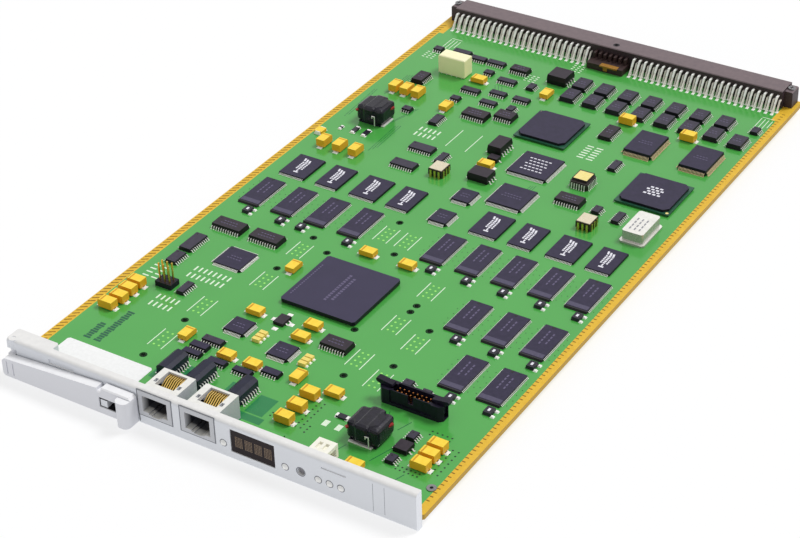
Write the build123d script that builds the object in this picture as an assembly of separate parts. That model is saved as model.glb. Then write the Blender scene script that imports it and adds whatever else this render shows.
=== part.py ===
"""PBX interface card: a tall circuit pack with a moulded faceplate and a backplane connector.

The card lies flat, parts side up. X runs along the faceplate, Y from the faceplate to the
backplane connector and Z up. The origin is under the middle of the whole card, on the surface
that the card lies on. Sizes are millimetres.

Places on the board are given as (u, v): u from the board's left edge, v from its front edge.
Heights on the board are given from its top face.
"""
import os

from build123d import *

# Small round details have this many sides
peg_sides = 12
hole_sides = 8

# Board, and the size of board that the places below were measured on
measured_board = (194.5, 351.3)
board_w = 194.5
board_d = 351.3
board_t = 2.4
board_clearance = 3.2
drill_d = 2.2

# Faceplate
plate_h = 17.5
plate_t = 3.75
plate_skin = 1.8
plate_end_gap = 0.6
plate_edge_r = 1.6
ear_len = 4.6
ear_h = 4.5
ear_back = 4.0
ear_boss_w = 21.2
foot_ear_h = 1.2
rib_t = 1.2
rib_places = (44.0, 105.6, 139.5, 168.0, 181.5)

# Latch lever
lever_len = 66.0
lever_t = 3.9
lever_gap = 0.5
lever_bottom = 1.6
lever_top_left = 10.8
lever_top_right = 14.7
lever_window_w = 8.8
lever_window_h = 4.8
lever_lip_w = 6.0
lever_lip_reach = 3.4
pivot_pin_d = 1.8
pivot_clearance = 0.08
knuckle_r = 1.8
boss_wall = 0.8

# Jacks, display and indicators in the faceplate
jack_w = 15.4
jack_h = 11.0
jack_back = 13.4
jack_flange = 0.3
jack_places = (75.0, 95.5)
mouth_w = 11.9
mouth_h = 7.6
mouth_floor = 1.6
mouth_depth = 11.5
fit_gap = 0.2
contact_w = 0.45
contact_pitch = 1.02
contact_drop = 2.8
display_w = 20.1
display_h = 10.4
display_t = 5.2
display_notch = 4.4
display_u = 121.2
display_drop = 1.2
display_board_t = 1.6
display_board_gap = 0.8
window_t = 0.8
lamp_d = 2.8
lamp_len = 7.0
lamp_rim = 0.7
lamp_places = (107.5, 136.1, 151.0, 156.05, 161.1)
lamp_z = 7.0
button_u = 143.2
button_z = 7.5
button_d = 3.0
button_len = 7.6
button_bore_gap = 0.25
button_recess = 0.9
button_travel = 1.2
switch_w = 7.0
switch_d = 6.5
switch_h = 6.0
corner_u0 = 144.3
corner_u1 = 152.5
corner_back = 8.0
corner_foot_h = 4.8

# Backplane connector
pin_pitch = 3.175
pins_in_group = 25
group_gap_pitches = 8
pin_w = 0.75
pin_run = 1.4
connector_u = 97.5
block_d = 11.5
block_seat_d = 10.8
block_h = 9.2
block_end = 3.7
lug_len = 4.2
lug_h = 8.4
lug_d = 7.5
key_reach = 9.0
key_h = 3.2
slot_d = 6.5
slot_h = 5.6
slot_floor = 1.8
screw_d = 2.0
screw_head_d = 3.6
screw_head_h = 0.8

# Shrouded box header with ejector latches
header_u = 158.2
header_v = 52.8
header_len = 28.8
header_w = 6.8
header_h = 7.2
header_wall = 0.9
header_floor = 2.0
header_slot_w = 1.2
header_end = 6.2
latch_t = 2.8
latch_h = 9.6
latch_pin_z = 2.4
latch_pin_in = 3.0
latch_pin_d = 1.2
header_pin_pitch = 2.0
header_columns = 8

# Chip thicknesses and mould draft
thin_h = 1.1
bypass_h = 1.5
small_h = 1.75
flat_h = 1.6
wide_h = 2.5
draft_angle = 8.0
ball_stack_h = 0.6
ball_body_w = 27.0
ball_body_t = 0.6
ball_cap_w = 24.6
ball_cap_t = 1.2
ball_places = ((170.2, 239.2), (102.8, 267.4))
processor_w = 37.0
processor_t = 1.7
processor_place = (90.1, 104.3)

# Capacitors and wound parts
tant_l = 7.3
tant_w = 4.4
tant_low = 2.9
tant_high = 4.1
terminal_t = 0.5
inductor_w = 13.6
inductor_l = 12.8
inductor_h = 8.6
inductor_base_t = 0.9
pulse_w = 6.6
pulse_l = 12.6
pulse_h = 5.8
pulse_foot = 0.4
pulse_places = (61.3, 75.3, 95.6)
pulse_v = 25.4

# Label, relay and oscillators
label_u = 32.3
label_v = 15.1
label_w = 43.6
label_l = 13.0
label_t = 0.15
relay_u = 33.4
relay_v = 294.6
relay_w = 15.0
relay_l = 7.4
relay_h = 9.4
relay_foot = 0.6
can_u = 179.2
can_v = 207.6
flange_t = 0.9
can_h = 5.0
oscillator_foot = 1.0
oscillator_h = 3.0

# The card's sides and heights that follow from the sizes above
board_top = board_clearance + board_t
front_y = -(plate_t + lever_gap + lever_t + lever_lip_reach)
block_front = board_d - block_seat_d
back_y = block_front + block_d
key_front = block_front - key_reach
middle_y = (front_y + back_y) / 2
pin_span = pin_pitch * (2 * (pins_in_group - 1) + group_gap_pitches)
block_len = pin_span + block_end


def at(u, v, height=0.0):
    """The model location over a measured place on the board."""
    x = u * board_w / measured_board[0] - board_w / 2
    y = v * board_d / measured_board[1] - middle_y
    return Location((x, y, board_top + height))


def plate_x(u):
    """The model x of a place along the faceplate."""
    return u * board_w / measured_board[0] - board_w / 2


def brick(x0, x1, y0, y1, z0, z1):
    """A box between two corners, with y counted from the faceplate's rear."""
    box = Box(x1 - x0, y1 - y0, z1 - z0)
    return box.moved(Location(((x0 + x1) / 2, (y0 + y1) / 2 - middle_y, (z0 + z1) / 2)))


def moulded(length, width, height):
    """A moulded chip body: two halves that taper away from the parting line."""
    half = height / 2
    upper = extrude(Rectangle(length, width), half, taper=draft_angle)
    lower = extrude(Rectangle(length, width), -half, taper=draft_angle)
    return (upper + lower).moved(Location((0, 0, half)))


def small_moulded(length, width, height):
    """A small moulded body, drawn as one block that tapers to its top."""
    return extrude(Rectangle(length, width), height, taper=draft_angle)


def rod(diameter, length, location):
    """A round rod that starts at a location and runs along its z."""
    return Cylinder(diameter / 2, length, align=(Align.CENTER, Align.CENTER, Align.MIN)).moved(location)


def peg(diameter, length, location, sides=peg_sides):
    """A small rod or drill with flat sides, round enough at its size."""
    return extrude(RegularPolygon(diameter / 2, sides), length).moved(location)


def group(shapes):
    """Loose solids that share one node."""
    solids = []
    for shape in shapes:
        solids.extend(shape.solids())
    return Compound(children=solids)


def yz_profile(points, x0, x1):
    """A prism along X from points in Y and Z, with y counted from the faceplate's rear."""
    face = make_face(Polyline(*[(0, y - middle_y, z) for y, z in points], close=True))
    return extrude(face, x1 - x0, dir=(1, 0, 0)).moved(Location((x0, 0, 0)))


def xz_profile(points, y0, y1):
    """A prism along Y from points in X and Z, with y counted from the faceplate's rear."""
    face = make_face(Polyline(*[(x, y0 - middle_y, z) for x, z in points], close=True))
    return extrude(face, y1 - y0, dir=(0, 1, 0))


# Places that the board, the faceplate and the parts on them share
board_left = -board_w / 2
board_right = board_w / 2
plate_left = board_left + plate_end_gap
plate_right = board_right - plate_end_gap
body_left = plate_left + ear_len
pivot_x = plate_left + knuckle_r + plate_end_gap
pivot_y = -plate_t / 2
lever_back = -(plate_t + lever_gap)
lever_front = lever_back - lever_t
lever_left = plate_left
lever_right = lever_left + lever_len
lever_top = plate_h - ear_h - fit_gap
window_right = lever_right - lever_lip_w - 1.2
window_left = window_right - lever_window_w
window_z = 7.6
jack_top = board_top + jack_h
display_z = board_top + display_h / 2 - display_drop
rivet_places = ((9.0, 5.5), (189.1, 14.6))
rivet_d = 2.4
rivet_rim = 0.8
rivet_head_h = 0.4
tab_w = 8.0
tab_t = 1.4

drill_places = (
    (44.6, 55.4), (44.6, 27.4), (136.8, 71.5), (122.8, 56.4), (109.5, 84.9), (56.1, 134.0),
    (67.9, 126.9), (82.6, 163.2), (94.0, 140.4), (55.9, 106.1), (43.0, 96.5), (122.8, 112.1),
    (122.8, 107.1), (136.8, 99.3),
)


def circuit_board():
    """The bare board, with its unplated tooling holes and the two rivet holes."""
    board = brick(board_left, board_right, 0, board_d, board_clearance, board_top)
    board = chamfer(board.edges().filter_by(Axis.Z), 0.8)
    x = plate_x(display_u)
    half = display_w / 2 + 2 * fit_gap
    board -= brick(x - half, x + half, -1, display_notch, 0, board_top + 1)
    for u, v in drill_places:
        board -= peg(drill_d, board_t + 2, at(u, v, -board_t - 1), hole_sides)
    for u, v in rivet_places:
        board -= peg(rivet_d, board_t + 2, at(u, v, -board_t - 1))
    return board


def jack_opening(u):
    """The hole in the faceplate that a jack's nose fills."""
    half = jack_w / 2 + jack_flange + fit_gap
    x = plate_x(u)
    return brick(x - half, x + half, -plate_t - 1, 1, board_top - jack_flange - fit_gap,
                 jack_top + jack_flange + fit_gap)


def faceplate():
    """A moulded plate, open at the rear, with rims, ribs, the pivot ears and the lever's catch."""
    plate = brick(plate_left, plate_right, -plate_t, 0, 0, plate_h)
    front_edges = plate.edges().group_by(Axis.Y)[0].filter_by(Axis.X)
    plate = fillet(front_edges, plate_edge_r)
    pocket_top = plate_h - plate_skin
    inner_left = body_left + plate_skin
    hollow = brick(inner_left, plate_right - plate_skin, plate_skin - plate_t, 1, plate_skin, pocket_top)
    plate -= hollow
    notch_top = plate_h - ear_h
    plate -= brick(plate_left - 1, body_left, -plate_t - 1, 1, foot_ear_h, notch_top)
    for u in rib_places:
        x = plate_x(u)
        plate += brick(x, x + rib_t, plate_skin - plate_t - 0.1, 0, plate_skin - 0.1, pocket_top + 0.1)
    for u in jack_places:
        plate -= jack_opening(u)
    x = plate_x(display_u)
    z = display_z
    plate -= brick(x - display_w / 2 - fit_gap, x + display_w / 2 + fit_gap, -plate_t - 1, 1,
                   z - display_h / 2 - fit_gap, z + display_h / 2 + fit_gap)
    for u in lamp_places:
        plate -= peg(lamp_d + 2 * fit_gap, plate_t + 2, through_plate(u, lamp_z))
    bore = button_d + 2 * button_bore_gap
    plate -= peg(bore, plate_t + 2, through_plate(button_u, button_z))
    step = brick(plate_left, plate_left + ear_boss_w, -plate_skin, ear_back, notch_top, plate_h)
    plate += fillet(step.edges().filter_by(Axis.Z).group_by(Axis.Y)[-1], 1.2)
    for z0, z1 in ((0, foot_ear_h), (notch_top, plate_h)):
        plate += peg(2 * knuckle_r + boss_wall, z1 - z0, Location((pivot_x, pivot_y - middle_y, z0)))
    plate -= rod(pivot_pin_d, plate_h + 2, Location((pivot_x, pivot_y - middle_y, -1)))
    catch_w = lever_window_w * 0.42
    plate += brick(window_left + 0.4, window_left + catch_w, lever_front + 0.5, -plate_t + 0.1,
                   window_z - lever_window_h / 2 + 0.4, window_z + lever_window_h / 2 - 0.4)
    plate -= brick(window_left + catch_w + 0.5, window_right, -plate_t - 1, plate_skin - plate_t + 0.1,
                   window_z - lever_window_h / 2, window_z + lever_window_h / 2)
    plate -= brick(plate_x(22.1), plate_x(35.0), -plate_t - 1, -plate_t + 0.5, 12.8, 15.1)
    plate -= brick(plate_x(152.5), plate_x(163.5), -plate_t - 1, -plate_t + 0.5, 13.0, 13.8)
    for u, v in rivet_places:
        x = plate_x(u)
        y = v * board_d / measured_board[1]
        x0 = max(x - tab_w / 2, body_left + 0.4)
        x1 = min(x + tab_w / 2, plate_right)
        tab = brick(x0, x1, -0.1, y + tab_w / 2, board_clearance - tab_t, board_clearance)
        block = brick(x0, x1, plate_skin - plate_t - 0.1, 0, plate_skin - 0.1, board_clearance)
        plate = plate + tab + block
        plate -= peg(rivet_d, 20, Location((x, y - middle_y, -1)))
    return plate


def through_plate(u, z):
    """A location on the faceplate's front that looks along +Y."""
    return Location((plate_x(u), -plate_t - 1 - middle_y, z), (-90, 0, 0))


def behind_front(u, z, depth):
    """A location at a depth behind the faceplate's front that looks along +Y."""
    return Location((plate_x(u), depth - plate_t - middle_y, z), (-90, 0, 0))


def rivets():
    """Hollow rivets that hold the board down on the faceplate's tabs."""
    made = []
    for u, v in rivet_places:
        x = plate_x(u)
        y = v * board_d / measured_board[1] - middle_y
        low = board_clearance - tab_t - rivet_head_h
        head_d = rivet_d + 2 * rivet_rim
        body = peg(rivet_d, board_top + rivet_head_h - low, Location((x, y, low)))
        body += peg(head_d, rivet_head_h, Location((x, y, board_top)))
        body += peg(head_d, rivet_head_h, Location((x, y, low)))
        body -= peg(rivet_d - 0.9, board_top + 2, Location((x, y, low - 0.5)), hole_sides)
        made.append(body)
    return group(made)


def latch_lever():
    """The latch lever: a tapered arm, a thumb lip, a knuckle in the notch and a catch window."""
    step_x = window_left - 0.6
    outline = [
        (lever_left, lever_bottom + 1.5), (lever_left + 1.5, lever_bottom), (lever_right, lever_bottom),
        (lever_right, lever_top_right - 1.0), (lever_right - 1.0, lever_top_right),
        (step_x + 2.2, lever_top_right), (step_x + 2.0, lever_top_right - 2.0),
        (step_x, lever_top_right - 2.0), (step_x - 0.2, lever_top_right - 0.6),
        (lever_left + 1.5, lever_top_left), (lever_left, lever_top_left - 1.5),
    ]
    arm = xz_profile(outline, lever_front, lever_back)
    arm = chamfer(arm.edges().filter_by(Axis.X).group_by(Axis.Y)[0], 0.5)
    lip = brick(lever_right - lever_lip_w, lever_right, lever_front - lever_lip_reach, lever_front + 0.5,
                lever_bottom, lever_top_right - 1.0)
    lip = fillet(lip.edges().filter_by(Axis.Z).group_by(Axis.Y)[0], lever_lip_w * 0.4)
    knuckle = Cylinder(knuckle_r, lever_top - foot_ear_h - fit_gap * 2)
    knuckle_mid = (lever_top + foot_ear_h + fit_gap) / 2
    knuckle = knuckle.moved(Location((pivot_x, pivot_y - middle_y, knuckle_mid)))
    web = brick(pivot_x - knuckle_r, pivot_x + knuckle_r - 0.2, lever_back - 0.1, pivot_y,
                lever_bottom, lever_top_left)
    lever = arm + lip + knuckle + web
    lever -= brick(window_left, window_right, lever_front - 1, lever_back + 1,
                   window_z - lever_window_h / 2, window_z + lever_window_h / 2)
    lever -= rod(pivot_pin_d + 2 * pivot_clearance, plate_h, Location((pivot_x, pivot_y - middle_y, 0)))
    for x in (lever_left + 2.2, lever_left + 5.4):
        lever -= brick(x, x + 0.6, lever_front - 1, lever_front + 0.4,
                       lever_bottom + 1.8, lever_top_left - 1.2)
    return lever


def pivot_pin():
    """The steel pin that the lever turns on."""
    return rod(pivot_pin_d, plate_h - 0.4, Location((pivot_x, pivot_y - middle_y, 0.2)))


def jack(u):
    """A side-entry modular jack: nose, mouth with a key slot, and an open top over the contacts."""
    x = plate_x(u)
    nose = plate_t + 0.1
    body = brick(x - jack_w / 2, x + jack_w / 2, -nose, jack_back, board_top, jack_top)
    body += brick(x - jack_w / 2 - jack_flange, x + jack_w / 2 + jack_flange, -nose, -nose + plate_skin,
                  board_top - jack_flange, jack_top + jack_flange)
    mouth_z = board_top + mouth_floor
    body -= brick(x - mouth_w / 2, x + mouth_w / 2, -nose - 1, -nose + mouth_depth,
                  mouth_z, mouth_z + mouth_h)
    for width, drop in ((6.4, 0.7), (3.6, 1.2)):
        body -= brick(x - width / 2, x + width / 2, -nose - 1, -nose + mouth_depth, mouth_z - drop, mouth_z)
    body -= brick(x - 4.6, x + 4.6, 3.0, jack_back - 1.2, mouth_z + mouth_h * 0.6, jack_top + 1)
    for side in (-1, 1):
        body -= brick(x + side * 5.6 - 0.7, x + side * 5.6 + 0.7, 4.2, 6.4, jack_top - 1.4, jack_top + 1)
    return body


def jack_contacts():
    """Eight sprung wires in each jack, sloping down into the mouth."""
    made = []
    mouth_top = board_top + mouth_floor + mouth_h
    inner = jack_back - 1.2
    for u in jack_places:
        for place in range(8):
            x = plate_x(u) + (place - 3.5) * contact_pitch
            high = jack_top - 0.8
            tip = mouth_top - contact_drop
            line = [
                (inner, high), (inner - 3.2, high), (inner - 9.6, tip), (inner - 9.6, tip - contact_w * 1.2),
                (inner - 3.0, high - contact_w * 1.4), (inner, high - contact_w),
            ]
            made.append(yz_profile(line, x - contact_w / 2, x + contact_w / 2))
    return group(made)


def display_module():
    """The four-character dot display: a body on two strips and an upright carrier with a foot."""
    x = plate_x(display_u)
    z = display_z
    body = brick(x - display_w / 2, x + display_w / 2, -plate_t + window_t + 0.3, display_t - plate_t,
                 z - display_h / 2, z + display_h / 2)
    rear = display_t - plate_t
    for side in (-1, 1):
        strip_z = z + side * 3.0
        body += brick(x - 7.0, x + 7.0, rear - 0.1, rear + display_board_gap + 0.1,
                      strip_z - 0.6, strip_z + 0.6)
    carrier_front = rear + display_board_gap
    carrier = brick(x - display_w / 2, x + display_w / 2, carrier_front, carrier_front + display_board_t,
                    board_clearance, z + display_h / 2)
    foot = brick(x - display_w / 2, x + display_w / 2, carrier_front, display_notch + 2.2,
                 board_top, board_top + 1.2)
    return body + carrier + foot


def display_window():
    """The tinted front glass of the display."""
    x = plate_x(display_u)
    z = display_z
    return brick(x - display_w / 2, x + display_w / 2, -plate_t + 0.3, -plate_t + window_t + 0.3,
                 z - display_h / 2, z + display_h / 2)


def lamp_lenses():
    """Domed light pipes that stand a little proud of the faceplate and reach back to the board."""
    made = []
    for u in lamp_places:
        lens = peg(lamp_d, lamp_len, behind_front(u, lamp_z, -0.1))
        dome = extrude(RegularPolygon(lamp_d / 2, peg_sides), lamp_rim, taper=45)
        dome = dome.moved(Location((plate_x(u), -plate_t - 0.1 - middle_y, lamp_z), (90, 0, 0)))
        x = plate_x(u)
        post = brick(x - 1.2, x + 1.2, lamp_len - plate_t - 2.0, lamp_len - plate_t - 0.1, board_top, lamp_z)
        made.append(lens + dome + post)
    return group(made)


def corner_block():
    """The white block behind the faceplate's top: a head on one foot, with pockets in its top and side."""
    x0 = plate_x(corner_u0)
    x1 = plate_x(corner_u1)
    top = jack_top
    head_z = board_top + corner_foot_h
    body = brick(x0, x1, 0.1, corner_back, head_z, top)
    body += brick(x0 + 2.7, x0 + 5.1, 2.0, corner_back, board_top, head_z + 0.2)
    body -= brick(x1 - 2.6, x1 + 1, 2.6, 6.6, head_z + 1.0, top - 1.6)
    for x in (x0 + 1.8, x0 + 4.6):
        body -= brick(x, x + 1.6, 2.2, 5.8, top - 1.0, top + 1)
    return body


def reset_switch():
    """The body of the push switch, soldered to the board behind the faceplate."""
    x = plate_x(button_u)
    y0 = button_len - plate_t + button_recess - 1.4
    body = brick(x - switch_w / 2, x + switch_w / 2, y0, y0 + switch_d, board_top, board_top + switch_h - 1.4)
    bore = button_d + 2 * button_bore_gap
    body -= peg(bore, 1.4 + button_travel + 0.4, Location((x, y0 - 0.1 - middle_y, button_z), (-90, 0, 0)))
    return body


def reset_button():
    """The plunger that slides through the faceplate into the switch."""
    location = behind_front(button_u, button_z, button_recess)
    plunger = peg(button_d, button_len, location)
    return chamfer(plunger.edges().group_by(Axis.Y)[0], 0.4)


def backplane_connector():
    """The connector housing: pin block, end lugs, a keyed middle foot and a mating slot in each half."""
    middle = plate_x(connector_u)
    x = block_len / 2
    y0, y1 = block_front, back_y
    z0 = board_top
    block = brick(middle - x, middle + x, y0, y1, z0, z0 + block_h)
    top_edges = block.edges().filter_by(Axis.X).group_by(Axis.Z)[-1]
    block = chamfer(top_edges, 0.4)
    for side in (-1, 1):
        a, b = sorted((middle + side * (x - 0.5), middle + side * (x + lug_len)))
        lug = brick(a, b, y0 + 2.5, y0 + 2.5 + lug_d, z0, z0 + lug_h)
        block += fillet(lug.edges().filter_by(Axis.Y).group_by(Axis.Z)[-1], 0.8)
    key_x = pin_pitch * group_gap_pitches / 2 - 3.0
    block += brick(middle - key_x, middle + key_x, key_front, y0 + 0.5, z0, z0 + key_h)
    slot_z = z0 + slot_floor
    for side in (-1, 1):
        inner = pin_pitch * group_gap_pitches / 2 - pin_pitch
        a, b = sorted((middle + side * inner, middle + side * (x - 2.0)))
        block -= brick(a, b, y1 - slot_d, y1 + 1, slot_z, slot_z + slot_h)
        block -= peg(screw_d, 30, lug_axis(side, board_top - 1))
    return block - peg(screw_d, block_h, Location((middle, y0 + 4.0 - middle_y, z0 + block_h - 4.0)))


def lug_axis(side, z):
    """A location on one lug screw's axis that looks up."""
    x = plate_x(connector_u) + side * (block_len / 2 + lug_len / 2)
    return Location((x, block_front + 2.5 + lug_d / 2 - middle_y, z))


def connector_screws():
    """Pan-head screws through the two lugs into the board."""
    made = []
    for side in (-1, 1):
        shank = peg(screw_d, lug_h, lug_axis(side, board_top))
        head = peg(screw_head_d, screw_head_h, lug_axis(side, board_top + lug_h))
        made.append(shank + head)
    return group(made)


def connector_pins(side):
    """Two rows of bent pins for one half: out of the housing, then down and forward onto the board."""
    made = []
    middle = plate_x(connector_u)
    half_gap = pin_pitch * group_gap_pitches / 2
    y0 = block_front
    rows = ((pin_run + 5.6, 6.2), (pin_run + 2.5, 4.3))
    for row, (reach, height) in enumerate(rows):
        z = board_top + height
        foot = y0 - reach
        knee = y0 - pin_run
        line = [
            (y0, z), (knee, z), (foot, board_top), (foot - pin_w, board_top),
            (knee - pin_w * 0.4, z + pin_w), (y0, z + pin_w),
        ]
        for place in range(pins_in_group):
            x = middle + side * (half_gap + place * pin_pitch) + row * pin_pitch * 0.42
            made.append(yz_profile(line, x - pin_w / 2, x + pin_w / 2))
    return group(made)


def header_places():
    """The header's middle and its two ends in model coordinates."""
    x = plate_x(header_u)
    y = header_v * board_d / measured_board[1]
    return x, y, x - header_len / 2, x + header_len / 2


def header_shroud():
    """The box header's shroud: rounded ends slotted for the latches, a key notch and pin bores."""
    x, y, x0, x1 = header_places()
    y0, y1 = y - header_w / 2, y + header_w / 2
    top = board_top + header_h
    shroud = brick(x0, x1, y0, y1, board_top, top)
    shroud = chamfer(shroud.edges().filter_by(Axis.Z), 1.6)
    shroud -= brick(x0 + header_end, x1 - header_end, y0 + header_wall, y1 - header_wall,
                    board_top + header_floor, top + 1)
    shroud -= brick(x0 + header_end - 1.2, x1 - header_end + 1.2, y0 - 1, y0 + 0.5,
                    board_top + 1.4, top + 1)
    for a, b in ((x0 - 1, x0 + header_end + 0.1), (x1 - header_end - 0.1, x1 + 1)):
        shroud -= brick(a, b, y - latch_t / 2 - fit_gap, y + latch_t / 2 + fit_gap, board_top + 0.3, top + 1)
    shroud -= brick(x - header_slot_w, x + header_slot_w, y0 - 1, y0 + header_wall + 0.1,
                    board_top + header_floor + 1.4, top + 1)
    for side in (-1, 1):
        shroud -= peg(latch_pin_d, header_w + 2, header_bore(side, y0 - 1))
    return shroud


def header_bore(side, y0):
    """A location on one latch pivot's axis that looks along +Y."""
    x = plate_x(header_u) + side * (header_len / 2 - latch_pin_in)
    return Location((x, y0 - middle_y, board_top + latch_pin_z), (-90, 0, 0))


def header_pins():
    """Two rows of square posts on the header's floor."""
    x, y, x0, x1 = header_places()
    made = []
    for column in range(header_columns):
        for side in (-1, 1):
            px = x + (column - (header_columns - 1) / 2) * header_pin_pitch
            py = y + side * header_pin_pitch / 2
            made.append(brick(px - 0.25, px + 0.25, py - 0.25, py + 0.25, board_top + header_floor,
                              board_top + header_h - 0.9))
    return group(made)


def header_latch(side):
    """An ejector latch: a foot under the plug, a pivot bore and a hook that flares into a thumb ear."""
    x, y, x0, x1 = header_places()
    pin_x = x + side * (header_len / 2 - latch_pin_in)
    z = board_top

    def out(distance):
        return pin_x + side * distance

    outline = [
        (out(-1.6), z + 0.9), (out(1.4), z + 0.9), (out(2.0), z + 2.2), (out(2.0), z + latch_h - 3.0),
        (out(5.0), z + latch_h - 1.6), (out(5.2), z + latch_h - 0.4), (out(4.6), z + latch_h),
        (out(0.2), z + latch_h - 0.6), (out(-2.4), z + latch_h - 0.9), (out(-2.6), z + latch_h - 1.8),
        (out(-0.2), z + latch_h - 2.4), (out(-0.2), z + 4.2), (out(-1.6), z + 3.4),
    ]
    latch = xz_profile(outline, y - latch_t / 2, y + latch_t / 2)
    return latch - peg(latch_pin_d + 0.12, header_w + 2, header_bore(side, y - header_w / 2 - 1))


def header_pivots():
    """The two small pins that the ejector latches turn on."""
    x, y, x0, x1 = header_places()
    start = y - header_w / 2 + 0.1
    return group([peg(latch_pin_d, header_w - 0.2, header_bore(side, start)) for side in (-1, 1)])


def chips(places, length, width, height, mould=small_moulded):
    """Moulded chips of one size at board places."""
    body = mould(length, width, height)
    return [body.moved(at(u, v)) for u, v in places]


def ball_packages():
    """Substrates of the two ball-grid parts: thin boards on a short stack of solder balls."""
    made = []
    for u, v in ball_places:
        substrate = Box(ball_body_w, ball_body_w, ball_body_t)
        made.append(substrate.moved(at(u, v, ball_stack_h + ball_body_t / 2)))
        made.append(Box(ball_cap_w, ball_cap_w, ball_stack_h).moved(at(u, v, ball_stack_h / 2)))
    return group(made)


def ball_package_caps():
    """The moulded caps of the two ball-grid parts, with cut corners."""
    made = []
    for u, v in ball_places:
        cap = Box(ball_cap_w, ball_cap_w, ball_cap_t)
        cap = cap.moved(at(u, v, ball_stack_h + ball_body_t + ball_cap_t / 2))
        cap = chamfer(cap.edges().filter_by(Axis.Z), 2.2)
        made.append(cap)
    return group(made)


def processor():
    """The large square package with a flat black lid on its solder-ball stack."""
    lid = Box(processor_w, processor_w, processor_t)
    lid = chamfer(lid.edges().filter_by(Axis.Z), 0.9)
    lid = lid.moved(at(*processor_place, ball_stack_h + processor_t / 2))
    stack = Box(processor_w - 2.4, processor_w - 2.4, ball_stack_h)
    return lid + stack.moved(at(*processor_place, ball_stack_h / 2))


def quad_flat_packs():
    """Square and oblong flat packs with leads on four sides."""
    made = chips(((148.2, 275.6), (176.3, 275.6)), 14.0, 20.0, 2.8, moulded)
    made += chips(((112.5, 233.9),), 20.0, 19.6, flat_h, moulded)
    made += chips(((36.5, 102.5),), 14.0, 14.0, thin_h)
    made += chips(((67.9, 62.1), (93.3, 56.7)), 10.0, 10.0, flat_h)
    made += chips(((97.4, 195.4), (97.4, 175.4)), 9.2, 10.6, flat_h)
    made += chips(((116.1, 205.1),), 17.4, 17.6, flat_h)
    return group(made)


def flash_chips():
    """Two rows of thin flat memory chips, in two widths, with leads at the short ends."""
    wide = chips([(u, 180.6) for u in (18.6, 56.9, 119.8, 158.0)], 14.0, 18.4, thin_h)
    narrow = chips([(u, 180.6) for u in (37.5, 75.5, 138.3, 176.4)], 12.0, 18.4, thin_h)
    return group(wide + narrow)


def memory_places():
    """Board places of the fourteen main memory chips."""
    column = (146.2, 164.0, 181.6)
    upper = [(u, 153.9) for u in (14.9, 32.6, 50.4, 68.2, 111.0, 128.5) + column]
    return upper + [(u, 115.3) for u in column] + [(u, 80.9) for u in column[1:]]


def memory_chips():
    """Main memory in thin flat packs with leads along the long sides."""
    return group(chips(memory_places(), 10.6, 22.2, thin_h))


odd_memory_place = (50.4, 153.9)


def bypass_parts():
    """A small two-ended part at the front corner of each memory chip."""
    made = []
    for u, v in memory_places():
        shift = -3.6 if (u, v) == odd_memory_place else 3.3
        made.append(small_moulded(3.8, 4.6, bypass_h).moved(at(u + shift, v - 16.2)))
    return group(made)


def driver_chips():
    """Wide drivers in two rows behind the backplane pins, in pairs."""
    columns = (95.3, 107.5, 120.2, 132.9, 145.7, 158.4, 171.3)
    places = [(u, v) for u in columns for v in (300.2, 312.6)]
    return group(chips(places + [(184.0, 299.2)], 7.5, 10.3, wide_h))


def wide_chips():
    """Wide small-outline chips of several lengths."""
    made = chips(((19.6, 122.2), (39.6, 122.2)), 15.4, 7.6, wide_h)
    made += chips(((109.9, 71.3), (140.0, 215.5), (64.5, 261.5)), 12.9, 7.5, wide_h)
    made += chips(((77.6, 267.3),), 10.0, 7.5, wide_h)
    made += chips(((127.9, 277.9),), 6.4, 12.2, 2.0)
    made += chips(((22.3, 280.2),), 6.4, 9.8, wide_h)
    made += chips(((61.4, 311.0),), 10.0, 5.6, wide_h)
    return group(made)


def narrow_chips():
    """Narrow small-outline and shrink packages that lie along the card's depth or width."""
    made = chips(((64.5, 48.5), (47.2, 311.9), (61.0, 298.3), (49.9, 281.6)), 9.9, 3.9, small_h)
    made += chips(((63.4, 285.2), (76.3, 285.3), (63.7, 274.9), (37.1, 311.6)), 8.7, 3.9, small_h)
    made += chips(((26.5, 313.6),), 9.9, 3.9, small_h)
    made += chips(((58.3, 222.3), (58.5, 205.7)), 12.6, 6.0, small_h)
    made += chips(((13.1, 103.7),), 6.2, 13.4, small_h)
    made += chips(((13.7, 90.3),), 5.4, 8.8, small_h)
    made += chips(((31.5, 73.4), (143.8, 252.4), (165.4, 213.4), (70.9, 219.0)), 3.9, 8.7, small_h)
    made += chips(((50.3, 248.4),), 4.6, 8.8, small_h)
    made += chips(((154.2, 214.6), (74.3, 299.0), (186.8, 313.4)), 3.9, 5.6, small_h)
    made += chips(((14.0, 311.0), (48.8, 301.6), (47.5, 271.0), (32.5, 250.6)), 4.9, 3.9, small_h)
    made += chips(((76.3, 275.0), (167.8, 20.9), (167.5, 36.6)), 3.9, 4.9, small_h)
    made += chips(((148.6, 63.4), (158.0, 61.4)), 4.4, 4.9, small_h)
    return group(made)


def line_network_chips():
    """Low dark parts in front of the line transformers."""
    made = chips(((61.8, 42.9), (97.5, 42.7)), 8.6, 4.0, small_h)
    made += chips(((61.8, 37.6), (74.5, 37.4), (87.0, 37.4)), 8.8, 3.4, small_h)
    return group(made)


def power_parts():
    """Tall black power parts: two inductors, a transistor and the diode between."""
    made = [moulded(7.4, 11.4, 4.6).moved(at(90.0, 240.0)), moulded(10.8, 8.0, 4.0).moved(at(95.2, 213.6))]
    made.append(moulded(5.4, 4.2, 2.2).moved(at(92.3, 230.4)))
    made.append(moulded(10.4, 10.0, 5.0).moved(at(83.3, 312.4)))
    made.append(moulded(6.2, 6.2, 2.3).moved(at(168.2, 28.8)))
    made.append(moulded(5.0, 6.6, 1.6).moved(at(80.6, 74.6)))
    return group(made)


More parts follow.
